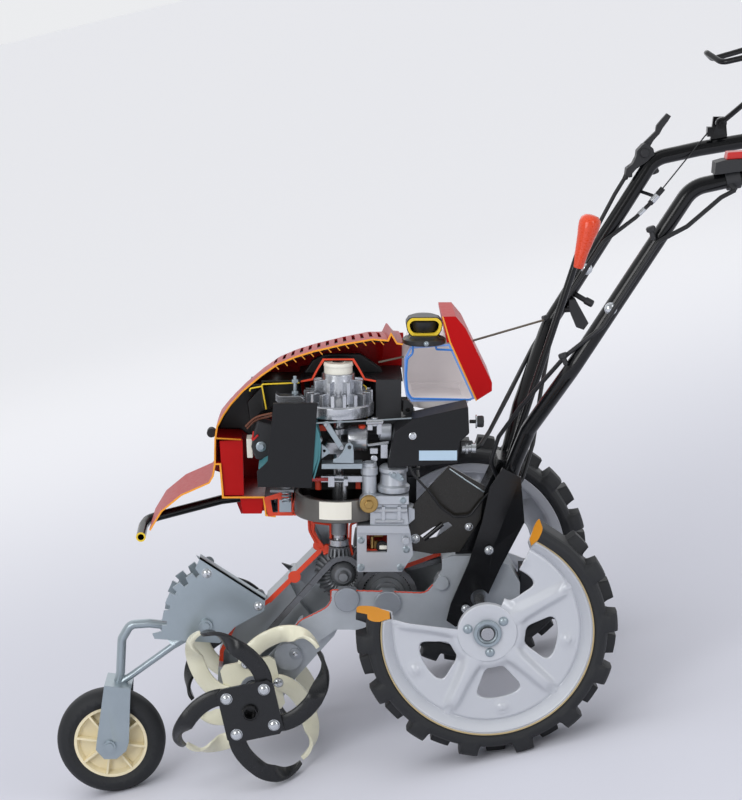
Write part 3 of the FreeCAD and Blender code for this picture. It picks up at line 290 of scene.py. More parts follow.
finish("black moulded nylon", "#232427", 0.5, grain_mm=0.7, relief=0.2, mottle=0.1, cut=VERMILION)
finish("brown black enamel", "#1d1b16", 0.3, grain_mm=2.0, relief=0.04, mottle=0.15)
finish("dark sheet enamel", "#17181b", 0.42, grain_mm=0.8, relief=0.08, mottle=0.08, specular=0.3)
# The milky tank's emission is a painted glow, standing in for light that passes through it.
finish("milky tank plastic", "#ded9da", 0.32, grain_mm=4.0, relief=0.05, mottle=0.14, cut=TANK_BLUE,
       painted_glow=0.16)
finish("black cap nylon", "#1b1c1e", 0.4, grain_mm=0.7, relief=0.12, cut=YELLOW)
finish("turned brass", "#b5955c", 0.3, metal=0.9, grain_mm=0.5, relief=0.08, mottle=0.15)
finish("white nylon", "#e9e6da", 0.4, grain_mm=2.0, relief=0.05, mottle=0.08)
finish("orange knob plastic", "#e2461f", 0.28, grain_mm=3.0, relief=0.04, mottle=0.05, coat=0.3)
finish("grip rubber", "#1c1d1f", 0.7, grain_mm=0.8, relief=0.3)
finish("brown lead insulation", "#6b3f2c", 0.45, grain_mm=1.0, relief=0.05)
finish("vermilion casting paint", "#d23c1a", 0.45, grain_mm=1.5, relief=0.1, mottle=0.15)
finish("blue green lining", "#3f7a82", 0.55, grain_mm=1.5, relief=0.1, mottle=0.15)
# Near black: painted shade on the crankcase's back plate, and the clutch shoes' own dark colour.
finish("painted hollow shade and dark shoes", "#1a1614", 0.6, grain_mm=1.2, relief=0.3, mottle=0.3)
finish("sintered drum steel", "#6d6b68", 0.42, metal=0.55, grain_mm=0.7, relief=0.15, mottle=0.25)
finish("oiled chain steel", "#74767a", 0.34, metal=0.6, grain_mm=0.8, relief=0.06, mottle=0.3)
# A lighter, less metallic copy of the die cast aluminium: painted light that lifts castings the lamps leave
# darker.
finish("die casting with painted light", "#c3c8cf", 0.34, metal=0.6, grain_mm=1.1, relief=0.25, mottle=0.15)
finish("yellow cut paint", "#e6c52e", 0.42, grain_mm=2.0, relief=0.04, mottle=0.05)
finish("sawn hood edge", "#f0a030", 0.42, grain_mm=2.0, relief=0.04, mottle=0.05)
finish("blue cut paint", "#2b7ad0", 0.35, grain_mm=2.0, relief=0.03)
finish("tan sealing line", "#b3a078", 0.5, grain_mm=2.0, relief=0.03)
# Painted blue glints for the hollow of the sawn cap.
finish("painted blue glint", "#1f4f93", 0.35, grain_mm=2.0, relief=0.04)
finish("black blade enamel", "#15171a", 0.3, grain_mm=3.0, relief=0.05, mottle=0.12)
finish("bright zinc plate", "#d4d8dc", 0.22, metal=0.85, grain_mm=0.8, relief=0.04, mottle=0.1)
finish("saturated red enamel", "#b50f10", 0.4, grain_mm=3.0, relief=0.04, mottle=0.1, specular=0.15)
finish("dark engine casting", "#2c2e32", 0.45, metal=0.4, grain_mm=1.0, relief=0.4, mottle=0.3, cut=VERMILION)
# A lighter copy of the die cast aluminium for the gear case halves: painted light that lifts their shaded insides.
finish("case casting with painted light", "#c0c6cc", 0.4, metal=0.55, grain_mm=1.0, relief=0.35, mottle=0.3,
       cut=VERMILION)
finish("signal red plastic", "#c01a14", 0.3, grain_mm=3.0, relief=0.03, mottle=0.05, coat=0.3)
finish("black cable jacket", "#141518", 0.4, grain_mm=1.5, relief=0.06)
finish("blank label film", "#b2cadd", 0.4, grain_mm=2.0, relief=0.02, mottle=0.04)
# Black: the cowl's ribs inside the hood, and painted shade on the sheet under the roof.
finish("black cowl and painted shade", "#131416", 0.45, grain_mm=1.0, relief=0.1, mottle=0.1)
finish("braided starter rope", "#6d6459", 0.8, grain_mm=0.9, relief=0.5, mottle=0.2)
finish("yellow zinc strip", "#1c1b14", 0.4, grain_mm=1.0, relief=0.05, cut=YELLOW)
print(len(finishes), "finishes")

# %% [markdown]
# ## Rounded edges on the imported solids
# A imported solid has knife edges, but a casting has fillets, a pressed sheet has a bend radius, and even
# a sawn edge is broken with a file. Those small radii are what catches the light. So a solid whose shape
# is right is copied, its loose triangles are merged into clean faces, and a bevel modifier rounds the
# edges that turn sharply. The copy then stands in for the solid.

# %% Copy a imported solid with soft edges
import bmesh

body_of_node = {node: body for body, nodes in frame["record"]["behaviour"]["bodies"].items()
                for node in nodes}


def round_edges(item, radius_mm, degrees):
    """A bevel modifier on every edge that turns by more than degrees."""
    bevel = item.modifiers.new("soft edges", "BEVEL")
    bevel.width, bevel.segments, bevel.limit_method = radius_mm / 1000, 2, "ANGLE"
    bevel.angle_limit, bevel.harden_normals, bevel.use_clamp_overlap = math.radians(degrees), True, True


def softened(node, finish_name, radius_mm, degrees=38):
    """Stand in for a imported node: its merged mesh with every edge sharper than degrees rounded."""
    mesh = frame["nodes"][node].data.copy()
    mesh.name = node + "_skin"
    shell = bmesh.new()
    shell.from_mesh(mesh)
    bmesh.ops.remove_doubles(shell, verts=shell.verts, dist=2e-6)
    bmesh.ops.dissolve_limit(shell, angle_limit=math.radians(1.0), verts=shell.verts, edges=shell.edges)
    shell.to_mesh(mesh)
    shell.free()
    mesh.materials.clear()
    mesh.materials.append(finishes[finish_name])
    mesh.shade_smooth()
    mesh.set_sharp_from_angle(angle=math.radians(degrees))
    item = bpy.data.objects.new(node + "_skin", mesh)
    bpy.context.scene.collection.objects.link(item)
    if radius_mm:
        round_edges(item, radius_mm, degrees)
    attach(item, body_of_node[node])
    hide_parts(node)
    return item


print(len(body_of_node), "packed nodes can be copied")

# %% [markdown]
# ## Shapes as arrays
# A new piece starts as plain numbers: a grid of points worked out as whole arrays, or a profile
# carried round an axis or along a path. One function turns the numbers into a mesh, parks it and
# lets it ride on its body.


def grid(points, wrap_u=False, wrap_v=False, cap_u=False):
    """Vertices and quads of points[u, v]. A wrapped direction joins its ends, cap_u closes both end rings."""
    rows, columns = points.shape[:2]
    u = np.arange(rows if wrap_u else rows - 1)[:, None]
    v = np.arange(columns if wrap_v else columns - 1)[None, :]
    u2, v2 = (u + 1) % rows, (v + 1) % columns
    quads = np.stack((u * columns + v, u2 * columns + v, u2 * columns + v2, u * columns + v2), -1)
    faces = quads.reshape(-1, 4).tolist()
    if cap_u:
        faces += [list(range(columns)), list(range((rows - 1) * columns, rows * columns))[::-1]]
    return points.reshape(-1, 3), faces


def joined(shapes):
    """Several (vertices, faces) pairs as one, with the later faces counted on from the earlier vertices."""
    offsets = np.cumsum([0] + [len(vertices) for vertices, faces in shapes])
    faces = [[i + int(start) for i in face] for (_, group), start in zip(shapes, offsets) for face in group]
    return np.concatenate([vertices for vertices, _ in shapes]), faces


def axes_along(direction):
    """Two unit vectors square to a direction, so that (side, lift, direction) is right-handed."""
    direction = np.asarray(direction, float) / np.linalg.norm(direction)
    helper = np.array((0.0, 0.0, 1.0)) if abs(direction[2]) < 0.9 else np.array((1.0, 0.0, 0.0))
    side = np.cross(helper, direction)
    side /= np.linalg.norm(side)
    return side, np.cross(direction, side), direction


def turned(profile, origin, axis=(0, 1, 0), sides=48, closed=False):
    """A lathe shape: each (along, radius) of the profile goes once round the axis, origin + along * axis."""
    profile = np.asarray(profile, float)
    side, lift, direction = axes_along(axis)
    angle = np.linspace(0, 2 * np.pi, sides, endpoint=False)
    ring = np.cos(angle)[:, None] * side + np.sin(angle)[:, None] * lift
    points = (np.asarray(origin, float) + profile[:, None, :1] * direction
              + profile[:, None, 1:] * ring[None])
    return grid(points, wrap_u=closed, wrap_v=True, cap_u=not closed)


def rod(start, end, radius, edge=0.6, sides=32):
    """A round bar between two points with both ends chamfered by edge."""
    start, end = np.asarray(start, float), np.asarray(end, float)
    length = np.linalg.norm(end - start)
    edge = min(edge, radius / 3, length / 3)
    return turned([(0, radius - edge), (edge, radius), (length - edge, radius), (length, radius - edge)],
                  start, end - start, sides)


def smooth_line(points, bend=25.0, steps=7):
    """A path whose corners are rounded: each corner becomes a parabola that starts bend before it."""
    points = np.asarray(points, float)
    runs = np.diff(points, axis=0)
    lengths = np.linalg.norm(runs, axis=1)
    unit = runs / lengths[:, None]
    reach = np.minimum(bend, 0.45 * np.minimum(lengths[:-1], lengths[1:]))[:, None]
    before, corner, after = points[1:-1] - unit[:-1] * reach, points[1:-1], points[1:-1] + unit[1:] * reach
    t = np.linspace(0, 1, steps)[:, None, None]
    curve = (1 - t) ** 2 * before + 2 * t * (1 - t) * corner + t ** 2 * after
    return np.concatenate((points[:1], curve.transpose(1, 0, 2).reshape(-1, 3), points[-1:]))


def tube(path, radius, sides=14, bend=25.0):
    """A round section carried along a smoothed path. The section is turned as little as possible from
    ring to ring: each ring's side vector is the last one made square to the new direction."""
    path = smooth_line(path, bend) if bend and len(path) > 2 else np.asarray(path, float)
    ahead = np.gradient(path, axis=0)
    ahead /= np.linalg.norm(ahead, axis=1, keepdims=True)
    side = axes_along(ahead[0])[0]
    sides_at = []
    for direction in ahead:
        side = side - direction * (side @ direction)
        side = side / np.linalg.norm(side)
        sides_at.append(side)
    sides_at = np.array(sides_at)
    lift = np.cross(ahead, sides_at)
    angle = np.linspace(0, 2 * np.pi, sides, endpoint=False)
    radius = np.broadcast_to(np.asarray(radius, float), (len(path),))[:, None, None]
    points = path[:, None] + radius * (np.cos(angle)[:, None] * sides_at[:, None]
                                       + np.sin(angle)[:, None] * lift[:, None])
    return grid(points, wrap_v=True, cap_u=True)


def prism(outline, y0, y1):
    """A flat outline of (x, z) points made solid from y0 to y1."""
    outline = np.asarray(outline, float)
    twice_area = np.sum(outline[:, 0] * np.roll(outline[:, 1], -1)
                        - np.roll(outline[:, 0], -1) * outline[:, 1])
    if (twice_area > 0) == (y1 > y0):
        outline = outline[::-1]
    walls = np.stack([np.insert(outline, 1, y, axis=1) for y in (y0, y1)])
    return grid(walls, wrap_v=True, cap_u=True)


def block(low, high):
    """A box between two corners."""
    (x0, y0, z0), (x1, y1, z1) = low, high
    return prism([(x0, z0), (x1, z0), (x1, z1), (x0, z1)], y0, y1)


# %% From numbers to a piece that rides


def piece(name, shapes, finish_name, body="chassis", crease=35, soft_mm=0.0, place=parked,
          thick_mm=0.0, offset=0.0):
    """Make one object of the shapes, in place, and let it ride. Edges sharper than crease stay sharp,
    soft_mm rounds them, thick_mm gives a sheet its gauge, and its slot is the usual one of its finish."""
    vertices, faces = joined(shapes) if isinstance(shapes, list) else shapes
    mesh = bpy.data.meshes.new(name)
    mesh.from_pydata(place(vertices).tolist(), [], faces)
    tidy = bmesh.new()
    tidy.from_mesh(mesh)
    bmesh.ops.remove_doubles(tidy, verts=tidy.verts, dist=1e-7)
    bmesh.ops.recalc_face_normals(tidy, faces=tidy.faces)
    tidy.to_mesh(mesh)
    tidy.free()
    mesh.materials.append(finishes[finish_name])
    mesh.shade_smooth()
    mesh.set_sharp_from_angle(angle=math.radians(crease))
    item = bpy.data.objects.new(name, mesh)
    bpy.context.scene.collection.objects.link(item)
    if thick_mm:
        gauge = item.modifiers.new("gauge", "SOLIDIFY")
        gauge.thickness, gauge.offset, gauge.use_even_offset = thick_mm / 1000, offset, True
    if soft_mm:
        round_edges(item, soft_mm, crease)
    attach(item, body)
    return item


def bolt(place, axis, radius=6.0, height=4.5, washer=True):
    """A hexagon head: six flats, a crown chamfered by its cone, and a washer under it."""
    side, lift, direction = axes_along(axis)
    angle = np.arange(6) * np.pi / 3
    ring = np.cos(angle)[:, None] * side + np.sin(angle)[:, None] * lift
    along = np.array((0, height * 0.8, height))[:, None, None] * direction
    reach = np.array((radius, radius, radius * 0.84))[:, None, None]
    head = grid(np.asarray(place, float) + along + reach * ring[None], wrap_v=True, cap_u=True)
    if not washer:
        return [head]
    return [head, turned([(-0.2, 1.45 * radius), (0.9, 1.45 * radius), (1.2, 1.3 * radius), (1.2, 0.3)],
                         place, axis, 24)]


def dome_bolt(place, axis, radius=8.0):
    """A round head: a shallow cap of a sphere on a flat collar."""
    t = np.linspace(0, 1, 7)
    profile = np.stack((radius * 0.52 * np.sin(t * np.pi / 2), radius * np.cos(t * np.pi / 2) * 0.93 + 0.02),
                       1)
    return [turned(np.concatenate(([(-1.0, radius)], [(0.6, radius)], profile[:-1] + (0.6, 0),
                                   [(radius * 0.55 + 0.6, 0.05)])),
                   place, axis, 32)]

# %% [markdown]
# ## Drive wheels
# The tyre is a moulded tractor tread: fourteen blocks on each shoulder, set half a pitch apart, that wrap
# down the side wall. It could be a sculpt, but a tread is a height map: take the smooth carcass, and push
# each point out wherever a block covers it. The grid has extra lines at both flanks of every block, so
# the flanks come out steep and clean.

# %% The tyre
TREAD, TIP, LIP, BEAD = 163.0, 177.4, 143.3, 131.0
HALF_TYRE, TRACK_HALF, BLOCKS, PHASE = 35.0, 189.0, 14, 4.9
GAP = (63.6, 172.6)
WALL_SHARE, SKIN = 0.42, 0.05


def wheel_point(radius, degrees, y):
    """A level-frame point on the wheel: the angle runs from the rear upwards, as seen from the left."""
    angle = np.radians(degrees)
    return np.stack(np.broadcast_arrays(-radius * np.cos(angle), y, radius * np.sin(angle)), axis=-1)


def plateau(distance, half, slope):
    """1 within half of the middle, 0 past half + slope, and a smooth step between."""
    t = np.clip((half + slope - np.abs(distance)) / slope, 0, 1)
    return t * t * (3 - 2 * t)


def carcass():
    """The side-to-side section as (radius, y): bead, side wall, rounded shoulder, flat crown."""
    side = np.array([(LIP + 0.3, 27.0), (LIP + 3, 31.5), (LIP + 7, 33.0), (154, 33.2), (158, 31.5),
                     (161, 28.0), (162.6, 23.0), (TREAD, 16.0), (TREAD, 10.0), (TREAD, 5.0)])
    return np.concatenate((side, [(TREAD, 0.0)], side[::-1] * (1, -1)))


def tyre_surface(angles, hand):
    """Carcass plus blocks. A block is high where its angle is near a pitch line and its place lies on its
    own shoulder: from 4 mm past the middle to 12 mm down the wall. It stands 3 to 4 mm tall on the wall and
    14 mm on the crown. WALL_SHARE of that goes sideways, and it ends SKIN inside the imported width."""
    section = carcass()
    arc = np.concatenate(([0], np.cumsum(np.linalg.norm(np.diff(section, axis=0), axis=1))))
    dense = np.unique(np.concatenate((np.linspace(0, arc[-1], 61), arc)))
    radius, y = (np.interp(dense, arc, section[:, i]) for i in (0, 1))
    slope = np.gradient(np.stack((radius, y), 1), axis=0)
    slope /= np.linalg.norm(slope, axis=1, keepdims=True)
    out_r, out_y = -slope[:, 1], slope[:, 0]
    pitch = 360 / BLOCKS
    a, r, w = angles[:, None], radius[None], y[None]
    height = 0
    for shoulder, shift in ((1, 0.0), (-1, 0.5)):
        away = (a - PHASE - shift * pitch + pitch / 2) % pitch - pitch / 2
        half_width = np.interp(r, (150, TREAD), (3.3, 4.6))
        across = plateau(away, half_width - 0.55, 1.15)
        along = np.clip((shoulder * w + 4.0) / 3.0, 0, 1) * np.clip((r - 150.5) / 4.0, 0, 1)
        tall = np.interp(r, (150, 156, 161, TREAD), (3.2, 4.2, 12.0, TIP - TREAD))
        height = np.maximum(height, tall * across * along)
    r_out = np.minimum(r + height * out_r[None], TIP)
    y_out = np.clip(w + height * out_y[None] * WALL_SHARE, -HALF_TYRE + SKIN, HALF_TYRE - SKIN)
    return wheel_point(r_out, a, hand * (TRACK_HALF + y_out))


def block_angles(start, end):
    """Angles from start to end with close lines at both flanks of every block, left and right."""
    step = 180 / BLOCKS
    middles = PHASE + step * np.arange(-2, 2 * BLOCKS + 4)
    near = (middles[:, None] + np.array((-5.8, -5.3, -4.7, -4.1, -2.5, 0, 2.5, 4.1, 4.7, 5.3, 5.8))).ravel()
    return np.unique(np.round(np.concatenate(([start, end], near[(near > start) & (near < end)])), 3))


def tyre(name, hand, start, end, body):
    """The outer surface, an inner wall at the bead and, where the tyre was sawn, two painted end faces."""
    angles = block_angles(start, end)
    whole = end - start >= 360
    if whole:
        angles = angles[:-1]
    outside = tyre_surface(angles, hand)
    inner = np.array([(BEAD + 1, -20.0), (BEAD + 1, 12.0)])
    inside = wheel_point(inner[None, :, 0], angles[:, None], hand * (TRACK_HALF + inner[None, :, 1]))
    ring = np.concatenate((outside, inside), axis=1)
    item = piece(name, grid(ring, wrap_u=whole, wrap_v=True, cap_u=not whole), "moulded tyre rubber", body,
                 crease=48)
    if not whole:
        item.data.materials.append(finishes["sawn face paint"])
        for polygon in item.data.polygons:
            polygon.material_index = int(len(polygon.vertices) > 4)
    return item


finish("sawn face paint", "#e89a22", 0.45, grain_mm=2.0, relief=0.04, mottle=0.06)
near_tyre = tyre("tyre_near", 1, GAP[1], GAP[0] + 360, "wheel_l")
far_tyre = tyre("tyre_far", -1, 0, 360, "wheel_r")
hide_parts("tyre_left")
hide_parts("tyre_right")
print("each tyre has", len(far_tyre.data.polygons), "faces")

# %% [markdown]
# The rim is a pressed steel disc: a flat outer ring with a rolled groove, five raised ribs that grow out
# of the hub, five rounded windows and five small bosses. A cut and filled model would need many fillets.
# Here each fifth of the disc is one grid that runs from a window's edge out to the sector's border, and
# one height function of radius and angle raises the ribs, the bosses and the groove.

# %% The rim
RIB_ANGLE, FAR_TURN = 29.5, 14.5
GROOVE, HUB, WINDOW_MIDDLE, DISC_EDGE = 127.5, 39.7, 73.5, 133.0
DISC_Y = 16.0


def disc_height(radius, degrees):
    """Height of the pressed disc over its flat: ribs fade from 9 mm at the hub to nothing at 122 mm,
    bosses are 3.4 mm caps at 110 mm, the groove is a 2.4 mm valley, and the disc climbs 7 mm to the hub."""
    away = (degrees - RIB_ANGLE + 36) % 72 - 36
    across = radius * np.sin(np.radians(away))
    width = np.interp(radius, (40, 56, 84, 118), (18, 11.5, 9.5, 9.0))
    rib = 9.0 * np.exp(-np.abs(across / width) ** 3.6) * np.interp(
        radius, (38, 60, 104, 114, 122), (1, 1, 0.9, 0.7, 0))
    middle = (degrees - RIB_ANGLE) % 72 - 36
    boss_gap = np.hypot(radius - 110, np.radians(middle) * radius)
    boss = 1.2 * plateau(boss_gap, 9.0, 3.0) + 2.2 * plateau(boss_gap, 3.5, 3.0)
    groove = -2.4 * np.exp(-((radius - GROOVE) / 1.7) ** 2)
    climb = 7.0 * plateau(radius - HUB, 3.0, 15.0)
    return np.maximum(rib, climb) + boss + groove


def window_outline(turns):
    """A rounded window about its own middle, in (radius, degrees): squarish, wider outside than inside."""
    c, s = np.cos(turns), np.sin(turns)
    grow = (np.abs(c) ** 4 + np.abs(s) ** 4) ** (-1 / 4)
    radius = 73.7 + 21.6 * c * grow
    half = np.interp(radius, (52, 95), (14.0, 21.5))
    return radius, half * s * grow


def disc_sector(number, turn):
    """From the window's edge (t = 0) to the sector's border (t = 1), all on one grid."""
    turns = np.linspace(0, 2 * np.pi, 96, endpoint=False)
    inner_r, inner_a = window_outline(turns)
    c, s = np.cos(turns), np.sin(turns)
    square = np.maximum(np.abs(c), np.abs(s))
    border_c, border_s = c / square, s / square
    outer_r = WINDOW_MIDDLE + border_c * np.where(border_c > 0, DISC_EDGE - WINDOW_MIDDLE,
                                                  WINDOW_MIDDLE - HUB + 0.5)
    outer_a = 36.0 * border_s
    t = np.concatenate((np.linspace(0, 0.12, 4)[:-1], np.linspace(0.12, 1, 26)))[:, None]
    radius, away = inner_r + (outer_r - inner_r) * t, inner_a + (outer_a - inner_a) * t
    degrees = RIB_ANGLE + 36 + 72 * number + away
    height = disc_height(radius, degrees) - 1.6 * (1 - np.clip(t / 0.05, 0, 1)) ** 2
    return grid(wheel_point(radius, degrees + turn, DISC_Y + height), wrap_v=True)


def mirrored(shape, hand):
    """Put a shape made about the wheel's own middle on the left (1) or the right (-1) wheel."""
    vertices, faces = shape
    return vertices * (1, hand, 1) + (0, hand * TRACK_HALF, 0), faces


def open_up(item, gap, keep_radius):
    """Take away what lies between two angles, as a saw did: split the mesh on both planes through the axle,
    then delete the faces inside the gap that lie further out than keep_radius."""
    shell = bmesh.new()
    shell.from_mesh(item.data)
    centre = parked((0, 0, 0))
    for degrees in gap:
        normal = UPRIGHT @ wheel_point(1.0, degrees + 90, 0.0)
        geometry = shell.verts[:] + shell.edges[:] + shell.faces[:]
        bmesh.ops.bisect_plane(shell, geom=geometry, plane_co=centre, plane_no=normal, dist=1e-7)
    middles = np.array([face.calc_center_median() for face in shell.faces])
    level = (middles - centre) @ UPRIGHT * 1000
    degrees = np.degrees(np.arctan2(level[:, 2], -level[:, 0])) % 360
    gone = (degrees > gap[0]) & (degrees < gap[1]) & (np.hypot(level[:, 0], level[:, 2]) > keep_radius)
    shell.faces.ensure_lookup_table()
    bmesh.ops.delete(shell, geom=[shell.faces[int(i)] for i in np.flatnonzero(gone)], context="FACES")
    shell.to_mesh(item.data)
    shell.free()


def rim(name, hand, body):
    """Pressed disc and rolled barrel as one sheet. The far wheel stands FAR_TURN degrees further round."""
    disc = [mirrored(disc_sector(number, 0.0 if hand > 0 else FAR_TURN), hand) for number in range(5)]
    barrel_line = [(DISC_EDGE, DISC_Y), (133.6, 17.6), (135.0, 20.6), (138.0, 24.2), (141.0, 27.2),
                   (LIP, 28.6),
                   (LIP, 27.0), (140.5, 24.6), (136.5, 19.6), (130.3, 13.6), (129.6, 10), (129.6, -20),
                   (133, -24), (LIP, -26.6), (LIP, -28.4)]
    radius, y = np.array(barrel_line).T
    turns = np.linspace(0, 360, 180, endpoint=False)
    barrel = grid(wheel_point(radius[:, None], turns[None], y[:, None]), wrap_v=True)
    return piece(name + "_disc", disc + [mirrored(barrel, hand)], "silver wheel enamel", body,
                 crease=60, thick_mm=2.2, offset=-1.0)


rims = [rim("rim_near", 1, "wheel_l"), rim("rim_far", -1, "wheel_r")]
open_up(rims[0], GAP, HUB + 0.4)
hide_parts("rim_left")
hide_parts("rim_right")
print("the far rim has", len(rims[1].data.polygons), "faces")

# %% Hubs, nuts and the cream line
for hand, body, label in ((1, "wheel_l", "near"), (-1, "wheel_r", "far")):
    hub = [turned([(-30, 19), (DISC_Y - 1, 19), (DISC_Y - 1, 40.5), (DISC_Y + 8.4, 40.5),
                   (DISC_Y + 9.4, 39.4), (DISC_Y + 9.4, 19.0), (DISC_Y + 8.6, 17.5), (DISC_Y + 8.6, 12.4),
                   (DISC_Y + 8.6, 12.2)],
                  (0, 0, 0), sides=96)]
    collar = [turned([(DISC_Y + 8, 19.0), (29.0, 18.6), (30.0, 17.4), (30.0, 14.0), (28.0, 13.0),
                      (26.5, 9.2)], (0, 0, 0), sides=64)]
    studs = []
    for degrees in (167, 278, 38):
        x, _, z = wheel_point(27.2, degrees, 0.0)
        studs += dome_bolt((x, DISC_Y + 9.4, z), LEFT, 6.6)
    piece(f"hub_{label}", [mirrored(shape, hand) for shape in hub], "silver wheel enamel", body,
          soft_mm=0.5)
    piece(f"hub_collar_{label}", [mirrored(shape, hand) for shape in collar + studs], "zinc plated steel",
          body, crease=30)
    line = turned([(27.4, LIP - 1.4), (29.2, LIP - 0.6), (29.2, LIP + 0.8), (27.4, LIP + 1.0)], (0, 0, 0),
                  sides=160, closed=True)
    ring = piece(f"rim_line_{label}", [mirrored(line, hand)], "tan sealing line", body)
    # A black disc over the axle's end is painted shade that makes the hub's bore read as a dark hole.
    piece(f"hub_bore_shade_{label}", [mirrored(rod((0, 28.2, 0), (0, 29.4, 0), 9.9, 0.1), hand)], "black enamel",
          body)
    if hand > 0:
        open_up(ring, GAP, HUB)
print("wheels done:", len(rims[0].data.polygons), "faces in the near rim")

# %% [markdown]
# ## Plates with holes
# Brackets and covers are sheet with bores. A boolean would work, but a triangulation that knows about
# holes gives the flat faces directly, and the walls follow from the same outlines.

# %% Plates with holes, springs and rings of copies
from mathutils.geometry import delaunay_2d_cdt


def circle(centre, radius, count=24):
    """Points round a centre, in order."""
    angle = np.linspace(0, 2 * np.pi, count, endpoint=False)
    return np.stack((centre[0] + radius * np.cos(angle), centre[1] + radius * np.sin(angle)), 1)


def plate(outline, holes, y0, y1):
    """A sheet in the x-z plane from y0 to y1: both faces are triangulated round the holes, and one wall
    of quads follows every loop."""
    loops = [np.asarray(outline, float)] + [np.asarray(hole, float) for hole in holes]
    starts = np.cumsum([0] + [len(loop) for loop in loops])
    flat = np.concatenate(loops)
    borders = [[int(a + i) for i in range(int(b - a))] for a, b in zip(starts[:-1], starts[1:])]
    points, _, triangles, *_ = delaunay_2d_cdt([tuple(point) for point in flat], [], borders, 2, 1e-4)
    flat = np.array(points)
    count = len(flat)
    vertices = np.concatenate((np.insert(flat, 1, y0, axis=1), np.insert(flat, 1, y1, axis=1)))
    faces = [list(face) for face in triangles] + [[i + count for i in reversed(face)] for face in triangles]
    for border in borders:
        faces += [[a, b, b + count, a + count] for a, b in zip(border, border[1:] + border[:1])]
    return vertices, faces


def coil_spring(start, end, radius, wire, turns):
    """A wire of the given radius along a helix: angle grows with height, the coil radius stays."""
    side, lift, direction = axes_along(np.subtract(end, start))
    t = np.linspace(0, 1, int(turns * 14) + 1)[:, None]
    angle = 2 * np.pi * turns * t
    path = (np.asarray(start, float) + t * np.subtract(end, start)
            + radius * (np.cos(angle) * side + np.sin(angle) * lift))
    return tube(path, wire, sides=6, bend=0.0)


def around(shape, count, centre, axis="y", start=0.0):
    """The same shape count times, turned by equal steps about a line along one axis through the centre."""
    vertices, faces = shape
    i, k = {"y": (0, 2), "z": (0, 1)}[axis]
    angle = np.radians(start) + np.arange(count)[:, None] * 2 * np.pi / count
    u, v = vertices[None, :, i] - centre[0], vertices[None, :, k] - centre[1]
    turned_all = np.repeat(vertices[None], count, 0)
    turned_all[..., i] = centre[0] + u * np.cos(angle) - v * np.sin(angle)
    turned_all[..., k] = centre[1] + u * np.sin(angle) + v * np.cos(angle)
    size = len(vertices)
    return turned_all.reshape(-1, 3), [[i + size * n for i in face] for n in range(count) for face in faces]


# %% [markdown]
# ## Flywheel, pull starter and shield
# The crankshaft stands upright. The flywheel is a casting with tall cooling blades round its rim, under
# the white cup of the pull starter. In front of the cylinder hangs a black sheet shield, blue-green on
# the inside, and the governor's rod runs above it to the air box.

# %% Flywheel with its blades
CRANK_X = 199.0
CRANK, CRANK_FOOT = (CRANK_X, 0.0), (CRANK_X, 0, 0)
ring = turned([(257, 47), (257.8, 50), (273, 50.5), (275, 49), (275, 37), (262, 36), (262, 30), (257, 30)],
              CRANK_FOOT, UP, sides=96, closed=True)
fin = block((CRANK_X + 36, -2.6, 273), (CRANK_X + 48.5, 2.6, 291))
hub_core = turned([(257, 9.2), (257, 28), (268, 36), (276, 30), (284, 22), (306, 20.5), (306, 9.2)],
                  CRANK_FOOT, UP, sides=64, closed=True)
ribs = around(block((CRANK_X + 19, -1.6, 280), (CRANK_X + 24.5, 1.6, 304)), 10, CRANK, "z", 9)
crown = turned([(289, 21.0), (289, 24.5), (315, 23.5), (316.4, 22.4), (316.4, 20.7)], CRANK_FOOT, UP, 64,
               closed=True)
tall_fin = block((CRANK_X + 23, -2.6, 276), (CRANK_X + 37, 2.6, 307))
flywheel = piece("flywheel_casting", [ring, around(fin, 18, CRANK, "z"), hub_core, ribs, crown,
                                      around(tall_fin, 8, CRANK, "z", 22.5)], "machined aluminium",
                 soft_mm=0.5)
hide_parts("flywheel")
piece("flywheel_magnets", [around(block((CRANK_X - 12, 30, 262), (CRANK_X + 12, 36.5, 272)), 4, CRANK, "z",
                                  45)],
      "oiled gear steel", soft_mm=0.4)
piece("coil_lead_block", [block((240, 12, 250), (252, 26, 258))], "vermilion casting paint", soft_mm=0.5)

# %% Starter cup cap, studs and the ignition coil
piece("cup_rim", [turned([(331, 0.5), (331, 19.5), (328, 20.8), (326, 20.8), (324, 19.8), (324, 0.5)],
                         CRANK_FOOT, UP, sides=64)], "white nylon")
stud = [rod((260, 10, 276), (260, 10, 313), 2.6), rod((260, 10, 303), (260, 10, 308), 5.0, sides=6),
        rod((260, 10, 287), (260, 10, 291), 5.2, sides=6)]
piece("bracket_stud", stud, "zinc plated steel")
piece("bracket_bar", [plate([(284, 277), (250, 276), (246, 281), (252, 286), (282, 286), (287, 290),
                             (287, 280)], [],
                            0.4, 22)], "machined aluminium", soft_mm=0.7)
piece("coil_body", [prism([(291, 246), (313, 252), (318, 236), (322, 214), (316, 196), (292, 192)], -6, 26)],
      "black moulded nylon", soft_mm=3.0)
piece("coil_core", [prism([(320, 196), (328, 196), (329, 223), (321, 223)], -14, 16)], "white nylon",
      soft_mm=0.8)
piece("coil_screw", bolt((308, 26, 215), LEFT, 5.0), "zinc plated steel")
for index, (start, middle, end) in enumerate((((330, 8, 240), (316, 18, 256), (292, 26, 263)),
                                             ((328, 4, 236), (318, 14, 250), (292, 20, 258)),
                                             ((318, 22, 236), (321, 26, 222), (312, 28, 232)))):
    piece(f"coil_lead_{index}", [tube([start, middle, end], 1.5, sides=8, bend=14)],
          "brown lead insulation" if index < 2 else "signal red plastic")

